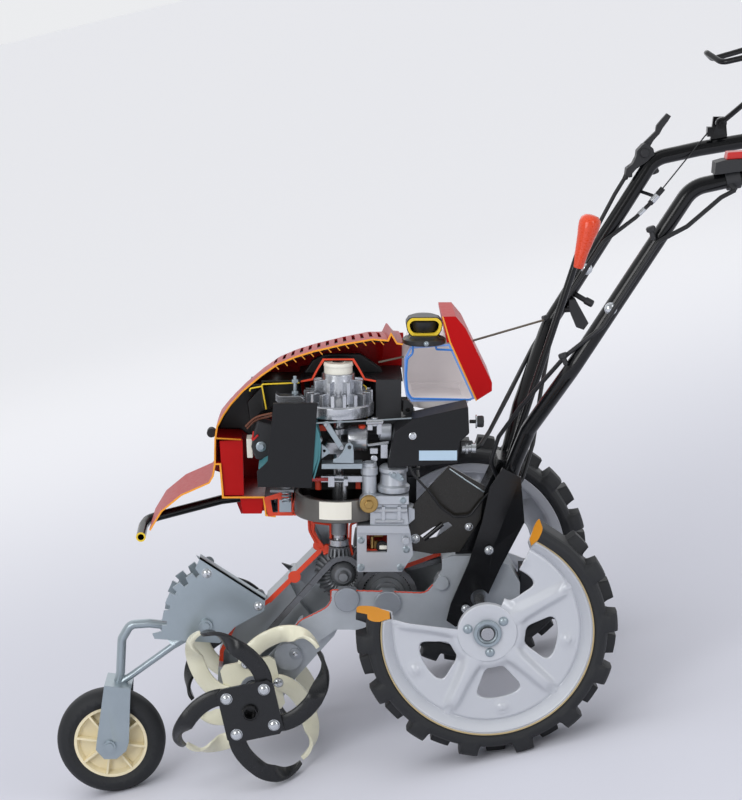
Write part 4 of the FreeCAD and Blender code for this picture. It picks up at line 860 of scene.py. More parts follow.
# %% Shield lining and the governor linkage
piece("shield_lining", [prism([(231.5, 258), (226, 243), (223.5, 227), (225, 206), (233, 178), (235, 178),
                               (227.5, 206), (226, 227), (228.5, 243), (233.5, 258)], 8, 66.5),
                        prism([(311, 193), (303, 199.5), (295, 203.5), (294, 202), (302, 198), (309, 191.5)],
                              8, 66.5)],
      "blue green lining")
piece("shield_lining_edge", [prism([(230, 255), (226, 240), (225, 224), (227, 207), (232, 192), (236, 182),
                                    (236, 255)],
                                   60, 66)], "blue green lining", soft_mm=1.5)
piece("governor_rod", [tube([(231, 66, 257.5), (150, 66, 261), (98, 66, 264)], 1.1, sides=8)],
      "zinc plated steel")
piece("rod_clamp", [rod((137, 66, 259), (161, 66, 258), 3.4), rod((149, 60, 252), (149, 60, 264), 4.6),
                    block((139, 52, 240), (146, 62, 258)), block((152, 50, 246), (159, 62, 260))],
      "machined aluminium", soft_mm=0.5)
piece("link_bar", [prism([(222, 257), (214, 259), (191, 221), (197, 217)], 58, 60.5)], "zinc plated steel",
      soft_mm=0.5)
piece("link_pins", [rod((217, 50, 254), (217, 63, 254), 3.0), rod((195, 50, 221), (195, 63, 221), 3.0)],
      "ground steel")
bracket_line = [(207, 200), (207, 205), (199, 208), (193, 216), (189, 226), (184, 229), (179, 225),
                (178, 214), (178, 199)]
piece("governor_bracket", [plate(bracket_line, [circle((184, 222), 2.8, 20)], 60, 63),
                           plate([(223, 198), (166, 198), (166, 191), (223, 191)], [], 38, 62)],
      "zinc plated steel", soft_mm=0.6)
piece("link_foot", [plate([(223, 226), (213, 218), (211, 213), (223, 205)], [circle((219, 216), 2.2, 16)],
                          56, 59),
                    rod((226, 50, 232), (226, 64, 232), 4.5, sides=6)], "zinc plated steel", soft_mm=0.4)

# %% [markdown]
# ## The open crankcase
# Behind the linkage the crankcase is cut open. It reads as a dark hollow with a few bright things in it:
# the journal, a counterweight, bolts and the red paint of the cut bosses. The dark of the hollow is
# painted shade, a near black plate just behind the cut.

# %% Inside the crankcase
# A near black plate just behind the cut is painted shade that makes the open crankcase read as a dark hollow.
piece("crankcase_painted_shade", [prism([(236, 243), (167, 243), (160, 236), (160, 206), (147, 200), (147, 158),
                                (152, 146),
                                (244, 146), (246, 200)], 0.2, 3.0)], "painted hollow shade and dark shoes", soft_mm=0.6)
journal = [turned([(0, 8), (1, 15), (14, 15), (15, 13), (15, 8)], (CRANK_X, 0, 205), UP, sides=40,
                  closed=True),
           turned([(0, 8), (1, 19), (9, 19), (10, 17), (10, 8)], (CRANK_X, 0, 228), UP, sides=40,
                  closed=True),
           prism([(214, 205), (186, 205), (178, 216), (183, 222), (215, 222), (220, 214)], 6, 34)]
piece("crank_web", journal, "ground steel", soft_mm=0.8)
piece("piston_skirt", [turned([(0, 4), (0, 17), (3, 18), (26, 18), (28, 16), (28, 4)], (186, 16, 224),
                              (-1, 0, 0), sides=48, closed=True)], "machined aluminium", soft_mm=0.4)
piece("case_bosses", [block((216, 4, 236), (230, 22, 244)), rod((228, 18, 150), (228, 18, 164), 4.5),
                      block((168, 6, 150), (175, 16, 165)), rod((166, 20, 236), (166, 20, 244), 5)],
      "vermilion casting paint", soft_mm=0.8)
piece("rail_bar", [block((160, 20, 163), (224, 28, 172)), block((205, 26, 158), (214, 36, 174)),
                   block((186, 30, 160), (192, 38, 170)), rod((186, 30, 165), (212, 34, 166), 2.2)],
      "machined aluminium", soft_mm=0.8)
piece("rail_gasket", [block((214, 22, 165), (246, 30, 170))], "signal red plastic", soft_mm=0.4)
piece("timing_rod", [rod((191, 30, 136), (191, 30, 164), 3.4), rod((191, 30, 128), (191, 30, 137), 1.8)],
      "ground steel")
piece("mount_spring", [coil_spring((273, 14, 134), (273, 14, 154), 6.5, 1.4, 4.0),
                       coil_spring((273, 30, 134), (273, 30, 152), 5.5, 1.3, 4.0)], "zinc plated steel")
piece("spring_seat", [turned([(0, 2), (0, 9), (3, 9), (3, 2)], (273, 22, 154), UP, sides=32, closed=True),
                      block((262, -18, 150), (296, 34, 154))], "oiled gear steel", soft_mm=0.6)

# %% Clutch drum band and its pale lining
def band(radius0, radius1, start, end, z0, z1, centre=CRANK, steps=24):
    """A curved block: the angle runs from start to end, seen from above, with 90 towards the left side."""
    angle = np.radians(np.linspace(start, end, steps))
    loop = np.array([(radius0, z0), (radius1, z0), (radius1, z1), (radius0, z1)])
    points = np.stack((centre[0] + loop[None, :, 0] * np.cos(angle)[:, None],
                       centre[1] + loop[None, :, 0] * np.sin(angle)[:, None],
                       np.broadcast_to(loop[None, :, 1], (steps, 4))), -1)
    return grid(points, wrap_v=True, cap_u=True)


drum = turned([(112, 58), (112, 62), (113, 63.5), (142, 63.5), (144, 62.5), (144, 57.5), (141, 56.5),
               (116, 56.5)],
              CRANK_FOOT, UP, sides=120, closed=True)
floor_disc = turned([(112, 12), (112, 58), (115, 58), (115, 12)], CRANK_FOOT, UP, sides=96, closed=True)
drum_item = piece("drum_shell", [drum, floor_disc], "sintered drum steel", soft_mm=0.4)
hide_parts("clutch_drum")
piece("drum_lining_block", [band(63.0, 64.6, 64.5, 106.0, 117.5, 143.0)], "white nylon", soft_mm=0.4)
piece("drum_shoes", [band(44, 55, 20, 160, 120, 142), band(44, 55, 200, 340, 120, 142)], "painted hollow shade and dark shoes",
      soft_mm=1.0)

# %% [markdown]
# ## Gears and chains
# A cogwheel is one closed section carried round its axle, and the section changes between two shapes:
# one for a tooth, one for the gap beside it. That gives spur teeth, sprocket teeth and bevel teeth alike.
# A chain is one link repeated at even steps of arc length.

# %% Cogwheels and roller chain
def cogwheel(centre, tooth, gap, teeth, share=0.45):
    """Both sections are closed loops of (radius, y). Each tooth takes four stations: two with the tooth's
    section, close together, and two with the gap's, further out, for sloping flanks."""
    tooth, gap = np.asarray(tooth, float), np.asarray(gap, float)
    step = 2 * np.pi / teeth
    stations = np.array((-0.75, -0.3, 0.3, 0.75)) * share * step
    angle = (np.arange(teeth)[:, None] * step + stations).ravel()[:, None]
    high = np.tile((0, 1, 1, 0), teeth)[:, None]
    radius = np.where(high, tooth[None, :, 0], gap[None, :, 0])
    y = np.where(high, tooth[None, :, 1], gap[None, :, 1])
    points = np.stack((centre[0] + radius * np.cos(angle), y, centre[1] + radius * np.sin(angle)), -1)
    return grid(points, wrap_u=True, wrap_v=True)


def loop_round(centre1, radius1, centre2, radius2, pitch):
    """Even steps along the outer tangents and arcs round two circles, and the direction at each step."""
    (x1, z1), (x2, z2) = centre1, centre2
    base = np.arctan2(z2 - z1, x2 - x1)
    spread = np.arccos((radius1 - radius2) / np.hypot(x2 - x1, z2 - z1))
    a1 = base + np.linspace(spread, 2 * np.pi - spread, 40)
    a2 = base + np.linspace(-spread, spread, 40)
    corners = np.concatenate((np.stack((x1 + radius1 * np.cos(a1), z1 + radius1 * np.sin(a1)), 1),
                              np.stack((x2 + radius2 * np.cos(a2), z2 + radius2 * np.sin(a2)), 1)))
    corners = np.concatenate((corners, corners[:1]))
    arc = np.concatenate(([0], np.cumsum(np.linalg.norm(np.diff(corners, axis=0), axis=1))))
    count = 2 * round(arc[-1] / pitch / 2)
    at = np.linspace(0, arc[-1], count, endpoint=False)
    joints = np.stack([np.interp(at, arc, corners[:, i]) for i in (0, 1)], 1)
    return joints, np.roll(joints, -1, axis=0) - joints


def chain(centre1, radius1, centre2, radius2, y0, y1, pitch=11.0):
    """Plates in pairs, every second pair a little further out, and a roller on each pin."""
    joints, steps = loop_round(centre1, radius1, centre2, radius2, pitch)
    length = np.linalg.norm(steps, axis=1)
    along = steps / length[:, None]
    across = np.stack((-along[:, 1], along[:, 0]), 1)
    turns = np.linspace(0, 2 * np.pi, 14, endpoint=False)
    local = np.stack((length.mean() / 2 + 3.9 * np.cos(turns) + np.sign(np.cos(turns)) * length.mean() / 2,
                      3.9 * np.sin(turns)), 1)
    flat = joints[:, None] + local[None, :, :1] * along[:, None] + local[None, :, 1:] * across[:, None]
    shapes = []
    for index, outline in enumerate(flat):
        inset_mm = 0.3 if index % 2 else 1.5
        shapes += [prism(outline, y0 + inset_mm, y0 + inset_mm + 1.1),
                   prism(outline, y1 - inset_mm - 1.1, y1 - inset_mm)]
        x, z = joints[index]
        shapes.append(turned([(y0, 0.9), (y0, 1.9), (y0 + 2.6, 1.9), (y0 + 2.6, 3.3), (y1 - 2.6, 3.3),
                              (y1 - 2.6, 1.9), (y1, 1.9), (y1, 0.9)], (x, 0, z), LEFT, 10))
    return shapes


COUNTER, IDLER, ROTOR = (193.0, 22.0), (130.0, -7.0), (323.0, -133.5)
front_chain = piece("chain_front_links", chain(COUNTER, 25.5, ROTOR, 29.0, 5, 14), "oiled chain steel",
                    crease=30)
piece("idler_chain", chain(IDLER, 39.5, (131.0, -7.0), 39.5, 9, 17), "oiled chain steel", crease=30)
rear_chain = piece("chain_rear_links", chain(IDLER, 25.5, (0, 0), 49.0, -14, -5), "oiled chain steel",
                   crease=30)
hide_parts("chain_front")
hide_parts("chain_rear")
bevel = cogwheel(COUNTER, [(15, -14), (40, -13), (41.5, -6), (26, 9.5), (23, 8.5), (15, 2)],
                 [(15, -14), (38, -13), (38.4, -8.5), (24.2, 5.0), (22, 4.5), (15, 2)], 30, 0.5)
bevel_item = piece("bevel_wheel", [bevel, turned([(-36, 8), (20, 8), (24, 7.2), (26, 6.2), (26, 0.5)],
                                                 (193, 0, 22)),
                                   turned([(2, 8), (2, 16), (6, 17.5), (12, 15), (16, 12), (16, 8)],
                                          (193, 0, 22), closed=True)],
                   "oiled gear steel", crease=28)
idler_wheel = cogwheel(IDLER, [(10, -2), (35.5, -1.5), (35.5, 7.5), (10, 8)],
                       [(10, -2), (32.6, -1.5), (32.6, 7.5), (10, 8)], 44, 0.45)
idler_item = [idler_wheel, turned([(-36, 8), (24, 8), (26, 6.8), (26, 0.5)], (130, 0, -7)),
              turned([(8, 9), (8, 24), (9.5, 25), (12, 25), (12, 19), (16, 18), (16, 9)], (130, 0, -7),
                     closed=True, sides=64)]
piece("idler_wheel", idler_item, "oiled gear steel", crease=28)
piece("idler_bright_ring", [turned([(12.2, 13.5), (12.2, 17.8), (13.0, 18.4), (14.6, 18.4), (15.2, 17.6),
                                    (15.2, 13.5)],
                                   (130, 0, -7), closed=True, sides=64)], "ground steel")
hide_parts("bevel_gear_train")
pinion_teeth = around(prism([(CRANK_X + 9, 49), (CRANK_X + 17, 49), (CRANK_X + 15, 61), (CRANK_X + 9, 61)],
                            -1.2, 1.2), 16, CRANK, "z")
piece("pinion_teeth", [pinion_teeth], "oiled gear steel", crease=28)
piece("shaft_bearing", [turned([(0, 9.2), (0, 14), (1, 15), (9, 15), (10, 14), (10, 9.2)], (CRANK_X, 0, 64),
                               UP, 48, closed=True)], "ground steel")
piece("shaft_collar", [turned([(0, 9.2), (0, 11), (20, 11), (20, 9.2)], (CRANK_X, 0, 80), UP, 40,
                              closed=True)],
      "oiled gear steel", soft_mm=0.5)
print("chains:", len(front_chain.data.polygons) + len(rear_chain.data.polygons), "faces")

# %% [markdown]
# ## Carburettor
# A cluster of castings on the left of the engine: a round float cover, a ribbed body with a shelf, the
# inlet tube with its brass plug, and a lower housing with an opening that shows painted insides.

# %% The carburettor cluster
carb_shapes = [
    prism([(155, 136), (103, 136), (101, 106), (155, 106)], 2, 50),
    prism([(158, 150), (101, 150), (101, 138), (158, 138)], -2, 57),
    prism([(173, 107), (101, 106), (98, 95), (174, 96)], 0, 55),
    plate([(174, 96), (98, 95), (94, 62), (110, 37), (172, 37)],
          [[(131, 91), (131, 66), (160, 66), (160, 91)]], 40, 48),
    prism([(174, 96), (166, 96), (166, 38), (172, 37)], 2, 42),
    prism([(128, 96), (98, 95), (94, 62), (110, 37), (128, 37)], 2, 42),
    prism([(172, 44), (108, 44), (110, 37), (172, 37)], 2, 42),
    turned([(152, 0.4), (152, 22), (156, 23), (160, 23), (163, 19), (178, 18), (181, 20.5), (186, 20.5),
            (189, 17), (191, 9), (191, 0.4)], (122, 32, 0), UP, 64),
    turned([(144, 0.4), (144, 10), (176, 10), (178, 12), (188, 12), (190, 10.5), (194, 10.5), (195, 9),
            (195, 7.5), (186, 7)], (156, 38, 0), UP, 48),
    turned([(0, 0.4), (0, 13.5), (17, 13.5), (18, 12.5), (18, 0.4)], (157, 40, 140), LEFT, 48),
    rod((103, 50, 128), (150, 50, 128), 4.2), rod((108, 50, 112), (148, 50, 112), 3.4),
    block((112, 50, 114), (117, 54, 134)), block((134, 50, 114), (139, 54, 134)),
    prism([(101, 130), (92, 126), (92, 112), (101, 104)], 8, 40),
    rod((95, 20, 88), (88, 20, 88), 6), rod((105, 46, 84), (105, 56, 84), 5.5),
]
carb_item = piece("carburettor_castings", carb_shapes, "die casting with painted light",
                  soft_mm=1.0)
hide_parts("carburettor")
carb_bolts = []
for x, y, z in ((109, 56, 144), (150, 57, 144), (104, 48, 70), (168, 48, 84), (168, 48, 44), (112, 48, 44)):
    carb_bolts += bolt((x, y, z), LEFT, 3.6, 3.0)
piece("carburettor_screws", carb_bolts, "zinc plated steel")
piece("carburettor_lever", [prism([(130, 182), (122, 187), (110, 178), (108, 171), (114, 170), (126, 176)],
                                  50, 52),
                            rod((122, 40, 180), (122, 56, 180), 3.2),
                            rod((110, 46, 174), (110, 55, 174), 2.4)],
      "zinc plated steel", soft_mm=0.4)
piece("throat_inside", [prism([(162, 93), (129, 93), (129, 64), (162, 64)], 3, 6),
                        block((150, 6, 80), (161, 30, 92)), block((129, 6, 62), (161, 36, 67))],
      "vermilion casting paint", soft_mm=0.5)
piece("throat_jets", [rod((152, 34, 68), (152, 34, 86), 2.6), rod((146, 34, 68), (146, 34, 79), 3.4, sides=6),
                      rod((136, 26, 84), (150, 26, 84), 2.2)], "turned brass")
piece("throat_block", [prism([(142, 74), (131, 74), (131, 68), (142, 68)], 30, 42)], "white nylon",
      soft_mm=1.2)
piece("throat_bore", [turned([(0, 4), (0, 8), (4, 8.6), (5, 7.6), (5, 4)], (138, 36, 72), LEFT, 32,
                             closed=True)],
      "black enamel")
plug_hex = [turned([(0, 0.3), (0, 12.6), (2.4, 13.2), (4.6, 12.8), (5.6, 11.6), (5.6, 0.3)], (157, 58, 140),
                   LEFT, 48)]
plug_hex += bolt((157, 63.6, 140), LEFT, 6.6, 3.6, washer=False)
plug_item = piece("plug_head", plug_hex, "turned brass", soft_mm=0.5)
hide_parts("brass_plug")

# %% [markdown]
# ## Fuel tank, cap and tail
# The milky tank was sawn in half and its edge painted blue. The cap is sawn too: its shell shows as a
# yellow ring round a dark hollow with a post. The tail of the hood is whole on this side.

# %% Cap
cap_loop = smooth_line([(78, 0, 393), (97, 0, 393), (103, 0, 386), (101, 0, 374), (95, 0, 367), (61, 0, 367),
                        (55, 0, 374), (53, 0, 386), (59, 0, 393), (78, 0, 393)], 7.0, 6)[:-1][:, (0, 2)]
cap_middle = np.array((78.0, 380.0))
cap_inner = cap_middle + (cap_loop - cap_middle) * (0.845, 0.72)
cap_profile = [(367.5, 0.3), (367.5, 17), (369, 21), (374, 23.6), (386, 25.4), (391, 22), (393.4, 15),
               (394, 0.3)]
dome = turned(cap_profile, (78, -27, 0), UP, 64)
cap_shapes = [dome, turned([(355.5, 0.3), (355.5, 29), (357, 30.5), (362, 30.5), (364, 28), (364.6, 24),
                            (368, 21.5), (368, 0.3)], (78, -10, 0), UP, 72)]
cap_item = piece("cap_shell", cap_shapes, "black cap nylon", crease=40)
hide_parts("fuel_cap")
grow = cap_middle + (cap_loop - cap_middle) * (1.05, 1.08)
piece("cap_cut_rim", [plate(grow, [cap_loop], -24, -0.5)], "black cap nylon", soft_mm=0.8)
piece("cap_cut_ring", [plate(cap_loop, [cap_inner], -8, 0.2)], "yellow cut paint")
piece("cap_hollow", [prism(cap_inner, -22, -20)], "black enamel")
piece("cap_post", [rod((78, -14, 368), (78, -14, 385), 3.0), rod((78, -14, 380), (78, -14, 383), 6.5),
                   block((73, -16, 371), (75, -12, 381))], "black cap nylon")
# Two blue slivers inside the cap are painted glints in its dark hollow.
piece("cap_blue_glints", [prism([(96, 384), (88, 372), (83, 371), (90, 385)], -19, -15),
                   prism([(66, 372), (60, 384), (66, 385), (72, 371)], -19, -15)], "painted blue glint",
      soft_mm=1.0)
piece("cap_vent", dome_bolt((76, 20.0, 360), LEFT, 3.6), "zinc plated steel")

# %% Tank underside and the tail's edge
piece("tank_belly", [turned([(0, 0.4), (0, 40), (3, 44), (12, 46), (14, 44), (14, 0.4)], (56, -52, 259), UP,
                            64)],
      "milky tank plastic", crease=50)
piece("tank_neck_plate", [prism([(101, 276), (107, 276), (108, 255), (99, 252), (93, 256), (93, 268)], -2,
                                3)],
      "black moulded nylon", soft_mm=0.8)
piece("tank_neck_bolt", [rod((101, 2, 262), (101, 4.2, 262), 3.2)], "black enamel")
piece("tail_cut_edge", [prism([(53.4, 395), (42.8, 358), (4.6, 273.4), (2.8, 274.6), (40.8, 359),
                               (51.4, 395)], -2.4, 0.5)],
      "sawn hood edge")

# %% [markdown]
# ## Tines
# Sixteen blades, four to a plate and all bent from one flat bar. A blade's outer edge follows a spiral,
# and over its last third the width leans over sideways. A cubic through a few stations keeps it smooth.

# %% Blades and their bolts
STATIONS = np.array([(-15, 43, 0, 0, 24), (13, 72, 0, 0, 24), (27, 88, 0, 0, 24), (37, 101, 0, 0, 24),
                     (44, 109.5, 2, 26, 24), (50, 115, 7, 50, 23.5), (55, 117.5, 14, 70, 23),
                     (59, 118, 21, 82, 22), (63, 118, 31, 88, 16), (66.5, 117.5, 43, 88, 5)])


def eased(table, count):
    """Even steps through a table's rows along a Catmull-Rom cubic: between rows b and c it is
    0.5 * (2b + (c - a) t + (2a - 5b + 4c - d) t^2 + (3b - a - 3c + d) t^3)."""
    padded = np.concatenate((2 * table[:1] - table[1:2], table, 2 * table[-1:] - table[-2:-1]))
    at = np.linspace(0, len(table) - 1, count)
    index = np.minimum(at.astype(int), len(table) - 2)
    t = (at - index)[:, None]
    a, b, c, d = (padded[index + shift] for shift in range(4))
    return 0.5 * (2 * b + (c - a) * t + (2 * a - 5 * b + 4 * c - d) * t ** 2
                  + (3 * b - a - 3 * c + d) * t ** 3)


def blade(bolt_angle, hand, side, y, drop_scale, thick=5.8):
    """One blade as a grid: rings of eight points round a bar section, from the plate to the slanted point."""
    degrees, radius, drop, lean, width = eased(STATIONS, 60).T
    degrees = bolt_angle + hand * degrees
    edge = wheel_point(radius, degrees, y + side * drop * drop_scale)
    along = np.gradient(edge, axis=0)
    along /= np.linalg.norm(along, axis=1, keepdims=True)
    inward = np.cross((0.0, 1.0, 0.0), along)
    inward *= -np.sign(np.sum(inward * wheel_point(1.0, degrees, 0.0), axis=1, keepdims=True))
    inward /= np.linalg.norm(inward, axis=1, keepdims=True)
    tilt = np.radians(lean)[:, None]
    across = inward * np.cos(tilt) + np.array((0, side, 0)) * np.sin(tilt)
    normal = np.cross(along, across)
    normal /= np.linalg.norm(normal, axis=1, keepdims=True)
    wide = (width * np.interp(lean, (40, 70), (1.0, drop_scale)))[:, None, None]
    u = np.array((0.0, 0.05, 0.95, 1.0, 1.0, 0.95, 0.05, 0.0))[None, :, None]
    v = np.array((0.3, 0.5, 0.5, 0.3, -0.3, -0.5, -0.5, -0.3))[None, :, None] * thick
    return grid(edge[:, None] + across[:, None] * u * wide + normal[:, None] * v, wrap_v=True, cap_u=True)


def at_rotor(points):
    """From the rotor's own middle to its packed place."""
    return parked(np.asarray(points, float) + (ROTOR[0], 0, ROTOR[1]))


def both_sides(shapes):
    """The shapes and their mirror images in the middle plane."""
    return shapes + [(vertices * (1, -1, 1), faces) for vertices, faces in shapes]


def tine_set(y, bolt_angle, hand, side, drop_scale, hole):
    """A square plate with clipped corners, turned by 12 degrees on its shaft, and its four blades."""
    blade_y = y - 3 if side < 0 else y + 8
    c, s = np.cos(np.radians(12)), np.sin(np.radians(12))
    x, z = np.array([(40, 33), (33, 40), (-33, 40), (-40, 33), (-40, -33), (-33, -40), (33, -40),
                     (40, -33)]).T
    sheet = plate(np.stack((x * c + z * s, z * c - x * s), 1), [circle((0, 0), hole, 32)], y, y + 5)
    return [sheet] + [blade(bolt_angle + 90 * index, hand, side, blade_y, drop_scale) for index in range(4)]


for node, shapes, finish_name, circle_at, bolt_y, size in (
        ("tines_outer", tine_set(145, 59.5, 1, -1, 1.0, 11.2), "black blade enamel", 59.5, 150, 8.2),
        ("tines_inner", tine_set(43, 103.5, -1, 1, 0.7, 17.2), "cream tine enamel", 103.5, 53.6, 7.2)):
    blades = piece(node + "_blades", both_sides(shapes), finish_name, body_of_node[node],
                   crease=50, place=at_rotor)
    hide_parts(node)
    heads = []
    for index in range(4):
        x, _, z = wheel_point(38.0, circle_at + 90 * index, 0.0)
        heads += dome_bolt((x, bolt_y, z), LEFT, size)
    piece(node + "_bolts", both_sides(heads), "bright zinc plate", body_of_node[node],
          crease=30, place=at_rotor)
shaft_end = [(-156, 0.4), (-156, 9.6), (-154.6, 11), (154.6, 11), (156, 9.6), (156, 8.2), (140, 7.6),
             (140, 0.4)]
shaft_item = piece("rotor_shaft_bored", [turned(shaft_end, (0, 0, 0))], "black enamel",
                   body_of_node["rotor_shaft"], crease=30, place=at_rotor)
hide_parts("rotor_shaft")

# %% [markdown]
# ## Gauge bracket
# Two zinc plated cheeks carry the gauge arm's pivot between them. The near one shows a row of notches
# that the arm can be parked in, so its outline is listed point by point.

# %% Cheeks, pivot and bolts
CHEEK = [(396, 55), (304, -7), (306, -25), (348, -49), (370, -73), (463, -66), (466, -59), (452, -55),
         (452, -46),
         (445, -46), (445, -40), (452, -39), (449, -24), (441, -23), (440, -17), (447, -13), (440, 3),
         (433, -1),
         (430, 4), (436, 10), (425, 18), (419, 11), (413, 15), (417, 24), (408, 31), (402, 24), (397, 29),
         (403, 38)]
cheek = plate(CHEEK, [], 26.3, 30.3)
lip = prism([(396, 55), (304, -7), (305.6, -9.6), (397.4, 52.4)], 14, 30.3)
far_cheek = plate([(405, 41), (309, -19), (307, -25)] + CHEEK[3:-1], [], -30.3, -26.3)
bracket_item = piece("bracket_sheets", [cheek, lip, far_cheek] + both_sides([
    rod((389, 0, -46), (389, 40, -46), 6.0),
    turned([(29.6, 0.4), (29.6, 9.6), (36, 9.6), (36.6, 9.0), (36.6, 0.4)], (389, 0, -46))]),
                     "zinc plated steel", crease=30)
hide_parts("gauge_bracket")
piece("bracket_bolts",
      both_sides(dome_bolt((387, 30.3, 31), LEFT, 7.5) + dome_bolt((314, 30.3, -18), LEFT, 7.0)),
      "bright zinc plate", crease=30)
piece("neck_hook", [prism([(282, 30), (258, 22), (258, 12), (264, 12), (270, 18)], -28, -22)],
      "dark engine casting", soft_mm=0.6)

# %% [markdown]
# ## Hood
# The pressed hood is crowned: it falls away from the cut towards its far side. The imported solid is
# straight across, so its copy is sliced into bands and each point is moved down by a share of the
# square of its distance from the cut. What hangs under it keeps its place.

# %% Crowned hood
HOOD_MIDDLE = np.array((215.0, 190.0))


def crowned(item, fall=13.0, depth=118.0):
    """Slice the copy into bands across y, then move each point of the skin towards the hood's middle by
    fall * (y / depth)^2. Points under the skin move less: the share falls to nothing 60 mm inside."""
    shell = bmesh.new()
    shell.from_mesh(item.data)
    for y in np.linspace(-0.012, -0.112, 11):
        bmesh.ops.bisect_plane(shell, geom=shell.verts[:] + shell.edges[:] + shell.faces[:],
                               plane_co=(0, float(y), 0), plane_no=(0, 1, 0), dist=1e-7)
    shell.to_mesh(item.data)
    shell.free()
    flat = np.empty(len(item.data.vertices) * 3)
    item.data.vertices.foreach_get("co", flat)
    level = (flat.reshape(-1, 3) - AXLE / 1000) @ UPRIGHT * 1000
    out = level[:, (0, 2)] - HOOD_MIDDLE
    reach = np.linalg.norm(out, axis=1)
    share = np.clip((level[:, 2] - 226) / 60, 0, 1) * np.clip((reach - 60) / 60, 0, 1)
    share *= np.clip((level[:, 0] - 104) / 30, 0.35, 1)
    move = out / reach[:, None] * (share * fall * (level[:, 1] / depth) ** 2)[:, None]
    level[:, (0, 2)] -= move
    item.data.vertices.foreach_set("co", parked(level).ravel())
    item.data.update()
    return item


hood_item = crowned(softened("hood", "red hood enamel", 0.0))
ROOF = np.array([(286, 328), (260, 339), (234, 347), (191, 357), (151, 364), (130, 362)], float)
louvre_fins = []
for sx in np.linspace(286, 138, 13):
    top = float(np.interp(sx, ROOF[::-1, 0], ROOF[::-1, 1])) - 3.0
    louvre_fins.append(prism([(sx + 2.6, top + 0.6), (sx + 1.4, top + 0.8), (sx - 3.6, top - 5.0),
                              (sx - 2.6, top - 5.4)],
                             -6, -0.4))
piece("louvre_fins", louvre_fins, "sawn hood edge")
# A thin black sheet 5.5 mm under the roof is painted shade: it draws the dark line of shade under the cut.
back = np.linspace(-8, -74, 12)[None, :, None] * np.ones((len(ROOF), 1, 1))
roof_shade_sheet = np.concatenate((ROOF[:, None, :1] * np.ones((1, 12, 1)), back,
                             ROOF[:, None, 1:] - 5.5 - 13.0 * (back / 118) ** 2), -1)
piece("roof_shade_sheet", grid(roof_shade_sheet), "black cowl and painted shade", thick_mm=1.0)
piece("hood_red_box", [prism([(368, 216), (335, 218.5), (334, 136), (364, 136)], -8, -4),
                       prism([(340, 134), (305, 134), (309, 109), (336, 109)], -8, -4)],
      "saturated red enamel", soft_mm=0.8)
piece("hood_cowl", [prism([(329, 267), (308, 290), (256, 297), (254, 277), (308, 252), (325, 233)], -36, -30),
                    prism([(326, 231), (297, 250), (294, 209), (326, 194)], -46, -40),
                    prism([(338, 276), (302, 300), (254, 300), (250, 262), (288, 252), (320, 206),
                           (340, 222), (371, 222),
                           (368, 234), (352, 260)], -58, -54)], "black cowl and painted shade", soft_mm=2.0)
piece("hood_rear_panel", [prism([(131, 356), (118, 352), (104, 352), (103, 301), (136, 300)], -110, -107)],
      "saturated red enamel")
piece("hood_stop", [rod((379.6, -24, 226), (379.6, -10, 226), 6.5)], "grip rubber", soft_mm=1.0)
piece("rope_under_hood", [tube([(142, -20, 326), (124, -20, 330), (106, -20, 334)], 1.4, sides=8, bend=0.0)],
      "braided starter rope")
piece("housing_dome", [prism([(253, 297), (236, 322), (220, 331), (167, 331), (137, 310), (133, 292)], -66,
                             -56)],
      "black moulded nylon", soft_mm=3.0)
piece("block_cylinder",
      [rod((141, 14, 232), (124, 14, 232), 12.0, 1.5), rod((143, 14, 232), (141, 14, 232), 8.0)],
      "die casting with painted light")
piece("block_clamps", [block((130, 26, 199), (140, 34, 219)), block((144, 26, 206), (155, 36, 214)),
                       rod((158, 30, 217), (128, 30, 221), 2.2), rod((149, 24, 199), (149, 36, 199), 5.0)],
      "machined aluminium", soft_mm=0.8)
print("hood:", len(hood_item.data.polygons), "faces")

# %% [markdown]
# ## Small fittings
# Bolts, clips, a blank label, bosses and the thin painted line on a sawn casting are too small for the
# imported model, and sit on its faces. The throttle lever, the switch box and the shift knob are packed in
# a plainer form, and stand here in their own outline.

# %% Bolts on the plates, bars and cases
heads = []
for x, y, z, size in ((91, 34.3, 82, 6.6), (15, 34.3, 99, 5.6), (262, 34, -88, 5.6),
                      (-12, 61.5, 72, 6.4), (20, 61.5, -14, 6.4), (-161, 178.8, 437, 8.4), (52, 42, 17, 4.6)):
    heads += dome_bolt((x, y, z), LEFT, size)
heads += bolt((96, 59, 237), LEFT, 3.6, 2.6)
piece("plate_bolts", heads, "bright zinc plate", crease=30)
piece("far_bar_bolt", dome_bolt((-167, -158.8, 437), LEFT, 8.4), "bright zinc plate", crease=30)
piece("case_bosses_left", [turned([(41, 0.4), (41, 18.5), (48.4, 17.6), (49.2, 16.6), (49.2, 0.4)],
                                  (188, 0, -4)),
                           turned([(41, 0.4), (41, 19.0), (48.4, 18.2), (49.2, 17.2), (49.2, 0.4)],
                                  (130, 0, -10)),
                           turned([(41, 0.4), (41, 10.0), (45, 9.6), (45.4, 9.0), (45.4, 0.4)], (52, 0, 17)),
                           turned([(33, 0.4), (33, 8.6), (36.4, 8.2), (36.8, 7.4), (36.8, 0.4)],
                                  (262, 0, -88))],
      "die cast aluminium", crease=30)
sawn_line = [(66, 16), (78, 5), (104, 5), (131, 6.4), (170, 7.6), (207, 9), (210.5, 4), (211, -7),
             (218, -17), (236, -27), (255, -37), (266, -52)]
wobble = eased(np.array(sawn_line), 90) + 0.35 * np.sin(np.arange(90) * np.array([[2.1], [3.7]])).T
piece("case_sawn_line", [tube(np.insert(wobble, 1, 41.6, axis=1), 0.9, sides=6, bend=0.0)],
      "vermilion casting paint")

